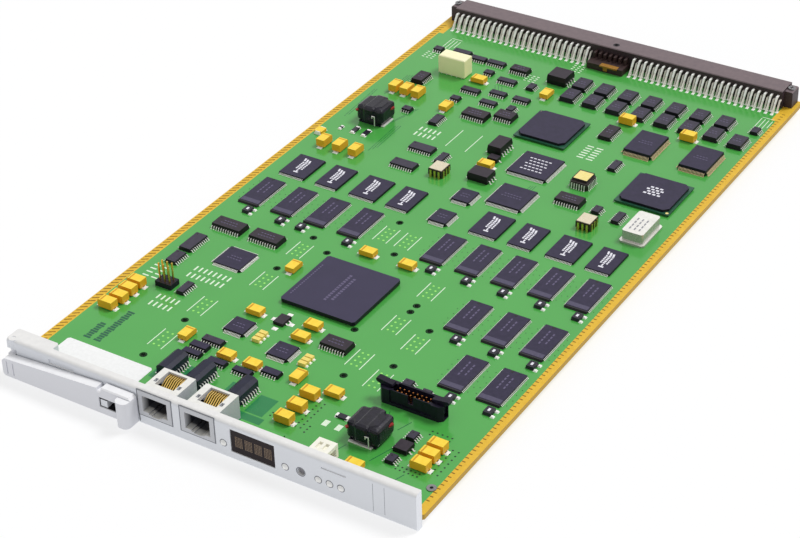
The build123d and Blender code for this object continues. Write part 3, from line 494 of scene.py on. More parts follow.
def solder_pad(bm, u, v, width, depth, height=0.35):
    """A mound of solder: a low box drawn in at its top."""
    verts = block(bm, at(u - width / 2, v - depth / 2), at(u + width / 2, v + depth / 2, height))
    upper = [vert for vert in verts if vert.co.z > TOP + height / 2]
    bmesh.ops.scale(bm, vec=(0.6, 0.6, 1), space=Matrix.Translation(-at(u, v)), verts=upper)


@contextmanager
def piece(name, finish_name, slot, body="card"):
    """A mesh in millimetres that is turned, once it is filled, into a piece that rides on a body."""
    bm = bmesh.new()
    yield bm
    bmesh.ops.scale(bm, vec=(MM, MM, MM), verts=bm.verts)
    bmesh.ops.recalc_face_normals(bm, faces=bm.faces)
    mesh = bpy.data.meshes.new(name)
    bm.to_mesh(mesh)
    bm.free()
    mesh.materials.append(material_of(finish_name))
    made = bpy.data.objects.new(name, mesh)
    bpy.context.scene.collection.objects.link(made)
    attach(made, body)


def solids(*nodes):
    """The corners of each separate solid of CAD nodes, in millimetres, from front to back in each node."""
    every = []
    for node in nodes:
        bm = bmesh.new()
        bm.from_mesh(NODES[node].data)
        bmesh.ops.remove_doubles(bm, verts=bm.verts, dist=1e-6)
        seen = set()
        found = []
        for start in bm.verts:
            if start in seen:
                continue
            seen.add(start)
            island = [start]
            for vert in island:
                for edge in vert.link_edges:
                    other = edge.other_vert(vert)
                    if other not in seen:
                        seen.add(other)
                        island.append(other)
            low = Vector([min(vert.co[axis] for vert in island) for axis in range(3)]) / MM
            high = Vector([max(vert.co[axis] for vert in island) for axis in range(3)]) / MM
            found.append((low, high))
        bm.free()
        every += sorted(found, key=lambda pair: (round(pair[0].y), round(pair[0].x)))
    return every


def plan(pair):
    """A solid's middle as a board place, its width along X and its depth along Y."""
    centre = (pair[0] + pair[1]) / 2
    return centre.x - LEFT, centre.y - FRONT, pair[1].x - pair[0].x, pair[1].y - pair[0].y


def field(u, v, columns, rows, step_u, step_v):
    """The places of a field of marks, column by column."""
    for column in range(columns):
        for row in range(rows):
            yield u + column * step_u, v + row * step_v


def stamp(bm, mesh, matrix):
    """Add a moved copy of a mesh and remove the mesh."""
    mesh.transform(matrix)
    bm.from_mesh(mesh)
    bpy.data.meshes.remove(mesh)


def lead_row(count, pitch, width, shoulder, reach, foot, thick=0.18):
    """A row of bent leads along X that stick out towards -Y and stand on the board."""
    bm = bmesh.new()
    start = -(count - 1) * pitch / 2
    block(bm, (start - width / 2, -reach * 0.35, shoulder - thick), (start + width / 2, 0.35, shoulder))
    tip = min(bm.faces, key=lambda face: face.calc_center_median().y)
    drop = shoulder - thick
    for dy, dz in ((-reach * 0.3, -drop * 0.45), (-reach * 0.12, -drop * 0.55), (-foot, 0.0)):
        grown = bmesh.ops.extrude_face_region(bm, geom=[tip])["geom"]
        verts = [item for item in grown if isinstance(item, bmesh.types.BMVert)]
        bmesh.ops.translate(bm, vec=(0, dy, dz), verts=verts)
        tip = next(item for item in grown if isinstance(item, bmesh.types.BMFace))
    if count > 1:
        bmesh.ops.spin(bm, geom=bm.verts[:] + bm.edges[:] + bm.faces[:], cent=(0, 0, 0), axis=(0, 0, 1),
                       dvec=(pitch, 0, 0), angle=0, steps=count - 1, use_duplicate=True)
    mesh = bpy.data.meshes.new("lead_row")
    bm.to_mesh(mesh)
    bm.free()
    return mesh


class LeadShape(NamedTuple):
    """A lead's width, reach and foot, the side's length kept free, and the share of the body's height."""

    width: float = 0.42
    reach: float = 1.0
    foot: float = 0.55
    margin: float = 1.1
    rise: float = 0.5


# The shape of the leads of each kind of part
LEAD_SHAPES = {
    "memory_chips": LeadShape(0.34, 0.55, 0.35),
    "flash_chips": LeadShape(0.3, 0.7, 0.5),
    "driver_chips": LeadShape(),
    "small_outline": LeadShape(margin=1.0),
    "quad_flat_packs": LeadShape(0.36, 0.95, 0.6, 1.6),
    "line_transformers": LeadShape(0.5, 1.3, 0.7, 1.6, 0.32),
    "power_parts": LeadShape(0.7, 0.8, 0.7, 2.4, 0.3),
    "socketed_chip": LeadShape(0.5, 0.6, 0.4, 1.4, 0.6),
}
SIDE_TURNS = {"front": 0, "right": 90, "rear": 180, "left": 270}
ENDS = ("front", "rear")
FLANKS = ("left", "right")
AROUND = ("front", "right", "rear", "left")


def add_leads(bm, pairs, sides, pitch, shape):
    """Leads along the named sides of chip bodies, as many as the pitch allows."""
    for low, high in pairs:
        centre = (low + high) / 2
        half_x, half_y = (high.x - low.x) / 2, (high.y - low.y) / 2
        shoulder = (high.z - TOP) * shape.rise + 0.1
        for side in sides:
            along, out = (half_x, half_y) if side in ENDS else (half_y, half_x)
            count = max(1, int((2 * along - shape.margin) / pitch) + 1)
            turn = Matrix.Rotation(radians(SIDE_TURNS[side]), 4, "Z")
            edge = turn @ Vector((0, -out, 0))
            stamp(bm, lead_row(count, pitch, shape.width, shoulder, shape.reach, shape.foot),
                  Matrix.Translation((centre.x + edge.x, centre.y + edge.y, TOP)) @ turn)


def print_rows(bm, pair, rows, spacing, dash, ink_width, turned=True):
    """Rows of short generic bars on a chip's top. Turned rows run along the card's depth."""
    u, v, width, depth = plan(pair)
    length = depth if turned else width
    top = pair[1].z - TOP
    for row in range(rows):
        shift = (row - (rows - 1) / 2) * spacing
        count = int(length * (0.62 - 0.1 * (row % 2)) / (dash * 1.5))
        for place in range(count):
            along = (place - (count - 1) / 2) * dash * 1.5
            if turned:
                flat_mark(bm, u + shift, v + along, ink_width, dash, top)
            else:
                flat_mark(bm, u + along, v + shift, dash, ink_width, top)


# Settings


class CardBoardSettings(bpy.types.PropertyGroup):
    """Sizes of the mask, its borders and its print."""

    border_left: bpy.props.FloatProperty(
        name="Left strip", description="Bare strip along the left edge, in millimetres", default=3.9)
    border_right: bpy.props.FloatProperty(
        name="Right strip", description="Bare strip along the right edge, in millimetres", default=3.8)
    rear_strip: bpy.props.FloatProperty(
        name="Rear widening", description="Extra width of the rear strips, in millimetres", default=2.4)
    rear_strip_v: bpy.props.FloatProperty(
        name="Widening from", description="Distance from the front edge, in millimetres", default=328.0)
    line_width: bpy.props.FloatProperty(
        name="Print line", description="Width of the white lines, in millimetres", default=0.4)
    tick_pitch: bpy.props.FloatProperty(
        name="Tick pitch", description="Distance between the border's ticks, in millimetres", default=2.6)


class CardLeadSettings(bpy.types.PropertyGroup):
    """Lead pitches, in millimetres."""

    wide_pitch: bpy.props.FloatProperty(
        name="Small outline", description="Pitch of small-outline leads", default=1.27)
    memory_pitch: bpy.props.FloatProperty(
        name="Memory", description="Pitch of the memory chips' leads", default=0.8)
    fine_pitch: bpy.props.FloatProperty(
        name="Fine", description="Pitch of flat-pack and flash leads, coarse enough to show", default=0.65)


class CardStageSettings(bpy.types.PropertyGroup):
    """The camera's place and the strength of the light."""

    azimuth: bpy.props.FloatProperty(
        name="Azimuth", description="Turn of the view, in degrees", default=32.87)
    elevation: bpy.props.FloatProperty(
        name="Elevation", description="Height of the view above level, in degrees", default=33.94)
    roll: bpy.props.FloatProperty(name="Roll", description="Turn of the picture, in degrees", default=-1.68)
    lens: bpy.props.FloatProperty(
        name="Lens", description="Focal length over a 36 mm frame, in millimetres", default=92.29)
    camera_place: bpy.props.FloatVectorProperty(
        name="Camera", description="The camera's place", subtype="TRANSLATION", unit="LENGTH", size=3,
        default=(0.40085, -0.650925, 0.4966))
    key_strength: bpy.props.FloatProperty(
        name="Key light", description="Irradiance of the soft key light", default=1.8)
    key_spread: bpy.props.FloatProperty(
        name="Key spread", description="Width of the key light, in degrees", default=20.0)
    key_tilt: bpy.props.FloatProperty(
        name="Key tilt", description="Turn of the key light about X, in degrees", default=-24.0)
    key_lean: bpy.props.FloatProperty(
        name="Key lean", description="Turn of the key light about Y, in degrees", default=20.0)
    fill_strength: bpy.props.FloatProperty(
        name="Fill light", description="Radiance of the even light all round", default=0.55)
    backlight: bpy.props.FloatProperty(
        name="Backlight", description="Share of the floor's white that is its own light", default=0.7)


# Board


class CARD_OT_finishes(bpy.types.Operator):
    """Give every CAD node its finish"""

    bl_idname = "card.finishes"
    bl_label = "Finishes"

    def execute(self, context):
        dressed = set()
        for finish_name, names in NODE_FINISHES.items():
            for name in names:
                NODES[name].material_slots[0].material = material_of(finish_name)
                dressed.add(name)
        bare = set(NODES) - dressed
        if bare:
            raise RuntimeError(f"no finish for {sorted(bare)}")
        return {"FINISHED"}


class CARD_OT_border(bpy.types.Operator):
    """Cut the ticks along both bare strips"""

    bl_idname = "card.border"
    bl_label = "Border ticks"

    def execute(self, context):
        settings = context.scene.card_board
        first, last = 8.0, BOARD_DEPTH - 12.0
        with piece("border_ticks", "routed_tick", "board_laminate") as bm:
            for place in range(int((last - first) / settings.tick_pitch)):
                v = first + place * settings.tick_pitch
                flat_mark(bm, settings.border_left / 2 - 0.1, v, 3.2, 0.6, turn=35)
                flat_mark(bm, BOARD_WIDTH - settings.border_right + 0.8, v, 1.5, 0.55)
        return {"FINISHED"}


# Left line of each ruled pair: u, v of its front end, and length
RULED_PAIRS = (
    (41.45, 60.95, 12.5), (41.45, 33.95, 12.5), (119.05, 62.75, 11.8), (132.95, 54.35, 12.4),
    (119.15, 118.05, 11.7), (119.15, 90.15, 12.1), (133.05, 82.75, 11.8), (52.95, 117.25, 11.3),
    (52.95, 89.75, 11.7), (79.15, 145.95, 12.1), (90.25, 145.95, 12.1),
)
# Drilled holes: u, v
DRILLED = (
    (44.6, 55.4), (44.6, 27.4), (136.8, 71.5), (122.8, 56.4), (109.5, 84.9), (56.1, 134.0), (67.9, 126.9),
    (82.6, 163.2), (94.0, 140.4), (55.9, 106.1), (43.0, 96.5), (122.8, 112.1), (122.8, 107.1), (136.8, 99.3),
)
# Bare pads: the first one's u and v, columns, rows, both steps, and a pad's width and depth
PAD_FIELDS = (
    (24.3, 58.5, 5, 2, 2.5, 5.4, 0.8, 3.4), (25.6, 83.5, 8, 2, 2.5, 5.3, 0.8, 3.4),
    (47.3, 234.0, 5, 2, 2.5, 5.0, 0.8, 3.4), (9.6, 74.0, 2, 4, 4.6, 2.8, 3.2, 0.8),
    (125.4, 252.8, 2, 6, 4.8, 2.2, 3.4, 0.8), (133.6, 27.4, 2, 1, 6.0, 0.0, 2.4, 3.6),
)
# Open vias: the first one's u and v, columns, rows and step
VIA_FIELDS = (
    (124.4, 20.0, 2, 8, 2.4), (171.5, 17.5, 6, 2, 1.9), (184.6, 22.0, 2, 7, 2.6),
    (112.2, 20.5, 2, 2, 2.0), (172.0, 41.5, 5, 2, 2.2), (129.5, 18.5, 1, 3, 2.0),
)
# Trace bundles: the first middle's u and v, its length, the lean in degrees, and the number of traces
TRACES = (
    (36.0, 222.0, 26.0, 2.0, 3), (33.0, 243.0, 22.0, -14.0, 2), (8.0, 246.0, 30.0, 3.0, 2),
    (150.0, 40.5, 9.0, 20.0, 3), (14.0, 270.0, 22.0, 0.0, 4), (140.0, 10.0, 12.0, 24.0, 2),
    (118.0, 210.0, 18.0, 0.0, 3), (60.0, 288.0, 12.0, 30.0, 3),
)
# Bars etched under the mask: middle u and v, and length of each ladder
LADDERS = ((16.6, 31.4, 12.8), (21.9, 37.6, 25.0))
# Slanting etched lines: middle u and v, and length
SLANTS = ((146.8, 17.5, 6.0), (163.0, 24.0, 16.0), (161.0, 41.0, 7.0), (175.0, 12.4, 8.0))
# Areas without copper: both corners
CORE_PATCHES = (
    ((101.7, 17.8), (110.0, 29.5)), ((66.0, 13.5), (71.0, 31.0)), ((87.0, 14.0), (91.0, 31.0)),
    ((55.0, 17.0), (58.0, 33.0)), ((100.0, 4.0), (112.0, 17.0)),
)


class CARD_OT_print(bpy.types.Operator):
    """Print the white lines, bare pads and dots of the board"""

    bl_idname = "card.board_print"
    bl_label = "Board print"

    def ruled_lines(self, context):
        """Pairs of white lines with eight via caps between them, and two long lines."""
        width = context.scene.card_board.line_width
        with (piece("via_caps", "filled_via", "board_laminate") as caps,
              piece("ruled_lines", "silk_ink", "board_laminate") as ink):
            for u, v, length in RULED_PAIRS:
                for side in (0.0, 7.0):
                    flat_mark(ink, u + side, v + length / 2, width, length)
                for cap_u, cap_v in field(u + 2.2, v + 1.6, 2, 4, 2.6, (length - 3.2) / 3):
                    dot(caps, cap_u, cap_v, 1.1, sides=6)
            for u in (65.8, 76.5):
                flat_mark(ink, u, 239.0, width, 16.7)

    def hole_shade_rings(self):
        """Painted shade: dark rings round the drilled holes."""
        with piece("hole_shade_rings", "painted_hole_shade", "board_laminate") as bm:
            for u, v in DRILLED:
                ring(bm, at(u, v, FILM / 2), 2.2, 3.4, 14)

    def bare_pads(self):
        """Rows of tinned pads where no part is fitted."""
        with piece("bare_pads", "silk_ink", "pin_tin") as bm:
            for *layout, width, depth in PAD_FIELDS:
                for u, v in field(*layout):
                    flat_mark(bm, u, v, width, depth)

    def clusters(self):
        """Small fans of white print beside the rear sockets, and fields of dashes."""
        with piece("print_clusters", "silk_ink", "board_laminate") as bm:
            for u, v in ((13.5, 318.0), (184.0, 321.0)):
                for place in range(4):
                    flat_mark(bm, u + place * 1.9, v + place * 0.8, 0.35, 13.0 - place * 2.0)
                flat_mark(bm, u + 2.8, v + 7.6, 6.0, 0.35)
            for start in ((67.0, 305.0), (82.0, 325.0), (10.0, 302.0)):
                for u, v in field(*start, 3, 4, 2.4, 1.9):
                    flat_mark(bm, u, v, 1.3, 0.6)

    def dark_vias(self):
        """Painted shade of open vias, in rows beside the capacitors and the memory chips."""
        with piece("open_vias", "open_via", "board_laminate") as bm:
            for *layout, step in VIA_FIELDS:
                for u, v in field(*layout, step, step):
                    dot(bm, u, v, 0.9, sides=6)
            for low, _ in solids("memory_chips"):
                u, v = low.x - LEFT - 1.9, low.y - FRONT
                for row in range(5):
                    stagger = 0.5 * (row % 2)
                    dot(bm, u - stagger, v + 3.0 + row * 3.9, 0.5, sides=6)
                    dot(bm, u + 14.3 + stagger, v + 2.0 + row * 3.9, 0.5, sides=6)

    def etched(self):
        """Etched bars, traces and bare-core areas under the mask."""
        step = 1.5
        with piece("etched_bars", "mask_over_etch", "board_laminate") as bars:
            for u, v, length in LADDERS:
                for row in range(int(length / step)):
                    wide = 2.7 if row % 3 else 3.5
                    flat_mark(bars, u, v - length / 2 + (row + 0.5) * step, wide, 1.15)
            for u, v, length in SLANTS:
                flat_mark(bars, u, v, 0.3, length, turn=-18)
        with piece("buried_traces", "mask_over_etch", "board_laminate") as bm:
            for u, v, length, lean, count in TRACES:
                for place in range(count):
                    flat_mark(bm, u + place * 1.1, v + place * 1.4, 0.22, length - place * 1.6, turn=lean)
        with piece("core_patches", "mask_over_core", "board_laminate") as cores:
            for low, high in CORE_PATCHES:
                block(cores, at(*low), at(*high, FILM * 0.6))

    def execute(self, context):
        self.ruled_lines(context)
        self.hole_shade_rings()
        self.bare_pads()
        self.clusters()
        self.dark_vias()
        self.etched()
        return {"FINISHED"}


# Chips and small parts

# Flat packs wider than this have white print, and the narrower ones burnt marks
WIDE_PACK = 19.0
# Ball-grid boards wider than this have a corner dot
DOTTED_BOARD = 26.0


class CARD_OT_leads(bpy.types.Operator):
    """Bend the leads of every chip"""

    bl_idname = "card.leads"
    bl_label = "Chip leads"

    def execute(self, context):
        settings = context.scene.card_leads
        for name, node, sides, pitch in (("memory_leads", "memory_chips", FLANKS, settings.memory_pitch),
                                         ("flash_leads", "flash_chips", ENDS, settings.fine_pitch),
                                         ("driver_leads", "driver_chips", FLANKS, settings.wide_pitch)):
            with piece(name, "tinned_copper_alloy", "pin_tin") as bm:
                add_leads(bm, solids(node), sides, pitch, LEAD_SHAPES[node])
        with piece("small_outline_leads", "tinned_copper_alloy", "pin_tin") as bm:
            for pair in solids("wide_chips", "narrow_chips", "line_network_chips"):
                width, depth = plan(pair)[2:]
                sides = ENDS if width > depth else FLANKS
                add_leads(bm, [pair], sides, settings.wide_pitch, LEAD_SHAPES["small_outline"])
        with (piece("large_flat_pack_leads", "aged_plating", "pin_tin") as aged,
              piece("flat_pack_leads", "tinned_copper_alloy", "pin_tin") as bright):
            for pair in solids("quad_flat_packs"):
                width, depth = plan(pair)[2:]
                bm = aged if depth - width > 4 else bright
                add_leads(bm, [pair], AROUND, settings.fine_pitch, LEAD_SHAPES["quad_flat_packs"])
        with piece("power_leads", "tinned_copper_alloy", "pin_tin") as bm:
            for node, sides, pitch, narrowest in (("line_transformers", FLANKS, 1.5, 3.0),
                                                  ("power_parts", FLANKS, 2.2, 0.0),
                                                  ("socketed_chip", AROUND, 1.27, 0.0)):
                pairs = [pair for pair in solids(node) if plan(pair)[2] > narrowest]
                add_leads(bm, pairs, sides, pitch, LEAD_SHAPES[node])
        return {"FINISHED"}


class CARD_OT_marks(bpy.types.Operator):
    """Mark the chips with painted highlight bands, painted shade, pin dots and generic bars"""

    bl_idname = "card.marks"
    bl_label = "Chip marks"

    def memory(self, burnt):
        """A black sloping block before each memory chip for its front face and painted shadow, a painted
        highlight band, and a rear notch in painted shade.
        """
        with (piece("memory_notch_shades", "matt_black_and_shade", "chip_plastic") as notches,
              piece("memory_front_faces_and_shadows", "matt_black_and_shade", "chip_plastic") as ends,
              piece("memory_end_highlights", "front_bevel_highlight", "chip_plastic") as bands):
            for low, high in solids("memory_chips"):
                u, v, width, depth = plan((low, high))
                top = high.z - TOP
                # Painted highlight: a pale band on the front bevel
                flat_mark(bands, u, v - depth / 2 + 1.8, width - 1.0, 2.6, top)
                # Painted shadow: a black sloping block before the chip, also standing for its dark front face
                verts = block(ends, (low.x, low.y - 1.0, TOP), (high.x, low.y + 0.1, high.z - 0.05))
                crest = [vert for vert in verts if vert.co.z > TOP + 0.5 and vert.co.y < low.y]
                bmesh.ops.translate(ends, vec=(0, 0.35, 0), verts=crest)
                # Painted shade: a black dot for the rear notch
                dot(notches, u - 1.2, v + depth / 2 - 1.0, 1.5, top)
                marked = (low + Vector((0, 5, 0)), high)
                print_rows(burnt, marked, rows=2, spacing=2.6, dash=1.4, ink_width=0.7)

    def white_print(self):
        """White generic bars on the flash chips, the right-hand ball-grid part and the square flat pack."""
        with piece("white_chip_print", "white_ink_and_glint", "label_white") as ink:
            for pair in solids("flash_chips"):
                u, v = plan(pair)[:2]
                top = pair[1].z - TOP
                flat_mark(ink, u, v - 5.6, 2.4, 0.9, top)
                flat_mark(ink, u, v - 4.2, 0.7, 1.6, top)
                for row, dash in ((-1.5, 0.8), (-0.1, 1.1), (1.4, 0.8)):
                    for place in range(5):
                        flat_mark(ink, u + row, v - 2.4 + place * 1.35, dash, 1.0, top)
                for place in range(3):
                    flat_mark(ink, u - 1.9 + place * 1.5, v + 5.4 - place * 0.5, 0.9, 2.4, top, 14.0)
            low, high = max(solids("ball_package_caps"), key=lambda pair: pair[0].x)
            inset = Vector((4, 0, 0))
            print_rows(ink, (low + inset, high - inset), rows=4, spacing=1.9, dash=1.5, ink_width=1.1,
                       turned=False)
            for pair in solids("quad_flat_packs"):
                if plan(pair)[2] > WIDE_PACK:
                    print_rows(ink, pair, rows=5, spacing=2.5, dash=1.3, ink_width=0.7, turned=False)

    def corner_dots(self):
        """A yellow dot on the rearmost board's rear left corner, and on the other's front right corner."""
        boards = solids("ball_package_boards")
        rearmost = max(high.y for low, high in boards)
        inset = 1.3
        with piece("corner_dots", "yellowed_label", "label_white") as bm:
            for low, high in boards:
                if high.x - low.x > DOTTED_BOARD:
                    if high.y == rearmost:
                        u, v = low.x - LEFT + inset, high.y - FRONT - inset
                    else:
                        u, v = high.x - LEFT - inset, low.y - FRONT + inset
                    dot(bm, u, v, 1.5, high.z - TOP)

    def execute(self, context):
        with piece("burnt_chip_marks", "laser_mark", "chip_plastic") as burnt:
            self.memory(burnt)
            self.white_print()
            self.corner_dots()
            for pair in solids("quad_flat_packs", "driver_chips", "wide_chips"):
                if plan(pair)[2] < WIDE_PACK:
                    print_rows(burnt, pair, rows=2, spacing=1.9, dash=1.0, ink_width=0.45, turned=False)
            lid = solids("processor")[-1]
            print_rows(burnt, lid, rows=2, spacing=2.8, dash=1.1, ink_width=1.3)
            for u, v in field(lid[0].x - LEFT + 2.0, plan(lid)[1] - 13.0, 1, 18, 0.0, 1.4):
                flat_mark(burnt, u, v, 0.7, 0.8, lid[1].z - TOP)
        with piece("pin_one_dots", "matt_black_and_shade", "chip_plastic") as dots:
            for low, high in solids("quad_flat_packs", "driver_chips", "wide_chips", "narrow_chips",
                                    "flash_chips"):
                dot(dots, low.x - LEFT + 1.5, high.y - FRONT - 1.4, 0.9, high.z - TOP)
        return {"FINISHED"}


def end_pads(bm, pair, out, along, across, height):
    """Solder at both ends of a part, its middle at a distance past the end."""
    u, v, width, depth = plan(pair)
    for side in (-1, 1):
        if width > depth:
            solder_pad(bm, u + side * (width / 2 + out), v, along, across, height)
        else:
            solder_pad(bm, u, v + side * (depth / 2 + out), across, along, height)


class CARD_OT_solder(bpy.types.Operator):
    """Wet the pads of the capacitors, bypass parts and chip parts"""

    bl_idname = "card.solder"
    bl_label = "Solder and end caps"

    def capacitors(self, pads):
        """Solder at both ends of each capacitor, and its polarity bar."""
        with piece("polarity_bars", "polarity_bar", "tantalum_yellow") as bars:
            for pair in solids("tall_tantalums", "low_tantalums"):
                end_pads(pads, pair, 0.5, 1.9, 2.8, 0.5)
                u, v, width, depth = plan(pair)
                top = pair[1].z - TOP
                if width > depth:
                    flat_mark(bars, u - width / 2 + 1.5, v, 0.7, depth - 0.3, top)
                else:
                    flat_mark(bars, u, v + depth / 2 - 1.5, width - 0.3, 0.7, top)

    def chip_parts(self, pads):
        """Bright ends and pads of the small chip parts, and a painted glint on each bypass part."""
        with piece("bypass_glints", "white_ink_and_glint", "label_white") as ink:
            for pair in solids("memory_bypass_parts"):
                u, v = plan(pair)[:2]
                for shift in (-1.9, 1.7):
                    solder_pad(pads, u + 2.5, v + shift, 1.7, 1.7, 0.6)
                # Painted highlight: a white glint on the bypass part's top
                flat_mark(ink, u, v, 1.0, 1.7, pair[1].z - TOP)
        for pair in solids("chip_resistors"):
            width, depth = plan(pair)[2:]
            along = 1.6 if width > depth else 1.5
            end_pads(pads, pair, 0.0, along, min(width, depth) + 0.3, pair[1].z - TOP + 0.1)
        for pair in solids("ferrite_beads"):
            u, v = plan(pair)[:2]
            for side in (-2.1, 2.1):
                solder_pad(pads, u + side, v, 1.0, 1.6, 0.5)

    def execute(self, context):
        with piece("solder_pads", "wet_solder", "solder_tin") as pads:
            self.capacitors(pads)
            self.chip_parts(pads)
            for u, v in ((76.6, 74.6), (85.0, 74.6), (80.6, 69.0), (80.6, 80.2)):
                solder_pad(pads, u, v, 2.5, 2.2, 0.3)
        return {"FINISHED"}


# Shift across, half width, half depth and drop below the middle of each lobe of tape
TAPE_LOBES = ((-5.0, 2.3, 6.1, 0.7), (0.0, 3.4, 7.2, 0.0), (5.0, 2.3, 6.3, 0.6))
# Start and end of each rod of the bare loop: shift across and height over the board
LOOP_RODS = ((0.7, 0.6, 0.7, 5.6), (-0.7, 4.4, -0.7, 5.6), (-0.9, 5.6, 0.9, 5.6))


class CARD_OT_wound(bpy.types.Operator):
    """Wrap the inductors in tape, and add their wires and tinned sills"""

    bl_idname = "card.wound"
    bl_label = "Wound parts"

    def turns(self):
        """Three rounded lobes of tape side by side over each inductor, the middle one the largest."""
        with piece("tape_turns", "polyester_tape", "inductor_tape") as bm:
            for low, high in solids("power_inductors"):
                centre = (low + high) / 2
                for shift, half, depth, drop in TAPE_LOBES:
                    x = centre.x + shift
                    block(bm, (x - half, centre.y - depth, low.z + 0.1),
                          (x + half, centre.y + depth, high.z + 0.2 - drop), 1.5)

    def sills(self):
        """The tinned edge of the base that shows at the front part's front and the rear part's right."""
        near, far = solids("power_inductors")
        half, height, bevel = 0.9, TOP + 0.7, 0.15
        with piece("inductor_sills", "tinned_copper_alloy", "pin_tin") as bm:
            x, y = (near[0].x + 1.0, near[1].x - 2.0), near[0].y
            block(bm, (x[0], y - half, TOP), (x[1], y + half, height), bevel)
            x, y = far[1].x, (far[0].y + 1.0, far[1].y - 3.0)
            block(bm, (x - half, y[0], TOP), (x + half, y[1], height), bevel)

    def wires(self):
        """Red winding ends, and the bare loop at the front right."""
        with (piece("winding_loops", "tinned_copper_alloy", "inductor_tape") as loops,
              piece("winding_ends", "enamelled_wire", "inductor_tape") as red):
            for low, high in solids("power_inductors"):
                z = low.z + (high.z - low.z) * 0.62
                for x, y in ((low.x + 0.4, low.y + 0.8), (high.x + 0.5, high.y - 3.6)):
                    rod(red, (x - 0.7, y - 1.0, z), (x + 0.7, y + 1.0, z + 0.5), 1.4)
                x, y = high.x - 3.9, low.y - 0.75
                for start_x, start_z, end_x, end_z in LOOP_RODS:
                    rod(loops, (x + start_x, y, TOP + start_z), (x + end_x, y, TOP + end_z), 0.5, 6)

    def execute(self, context):
        self.turns()
        self.sills()
        self.wires()
        return {"FINISHED"}


# Faceplate, connector and tall parts


class CARD_OT_plate_details(bpy.types.Operator):
    """Add the display's dots, and the fine lines and painted shade of the faceplate"""

    bl_idname = "card.plate_details"
    bl_label = "Faceplate details"

    def display_dots(self):
        """Four characters of five by seven unlit dots."""
        low, high = box_mm("display_window")
        middle = (low.z + high.z) / 2
        pitch, half = 0.72, 0.23
        with piece("display_dots", "unlit_emitter", "display_glass") as bm:
            for character in range(4):
                start = low.x + 2.1 + character * 4.5
                for x, z in field(start, middle - 3 * pitch, 5, 7, pitch, pitch):
                    block(bm, (x - half, low.y - FILM, z - half), (x + half, low.y + 0.1, z + half))

    def clearances(self):
        """Painted shade in the clearances round the sockets, lamps and button, and two fine parting lines."""
        gap = 0.4
        with piece("plate_clearances", "clearance_shade", "plate_plastic") as bm:
            for node in JACKS:
                low, high = box_mm(node)
                left, right, below, above = low.x - 0.1, high.x + 0.1, low.z - 0.1, high.z + 0.1
                face_mark(bm, left - gap, left, below, above)
                face_mark(bm, right, right + gap, below, above)
                face_mark(bm, left - gap, right + gap, above, above + gap)
                face_mark(bm, left - gap, right + gap, below - 0.3, below)
            rims = [(pair, 2.9, 3.4) for pair in solids("lamp_lenses")]
            rims.append((box_mm("reset_button"), 3.6, 4.3))
            for (low, high), inner, outer in rims:
                centre = (low + high) / 2
                ring(bm, (centre.x, PLATE_FACE - FILM / 2, centre.z), inner, outer, axis="Y")
            for x in (LEFT + 175.2, LEFT + 180.2):
                face_mark(bm, x - 0.08, x + 0.08, plate_low.z + 2.4, plate_high.z - 2.2, FILM / 2)

    def latch_shade(self):
        """Painted shade: a dark panel in the well behind the lever's window, and a dark strip for the gap at
        the lever's right end.
        """
        with piece("latch_shade", "matt_black_and_shade", "switch_plastic") as bm:
            block(bm, (WINDOW_RIGHT - 5.2, FRONT - 1.85, 4.8), (WINDOW_RIGHT + 0.6, FRONT - 0.2, 10.4))
            face_mark(bm, WINDOW_RIGHT - 8.5, WINDOW_RIGHT - 5.1, 3.6, 10.4)
            face_mark(bm, lever_high.x + 0.15, lever_high.x + 0.5, plate_low.z + 1.6, plate_high.z - 2.4)

    def execute(self, context):
        self.display_dots()
        self.clearances()
        self.latch_shade()
        return {"FINISHED"}


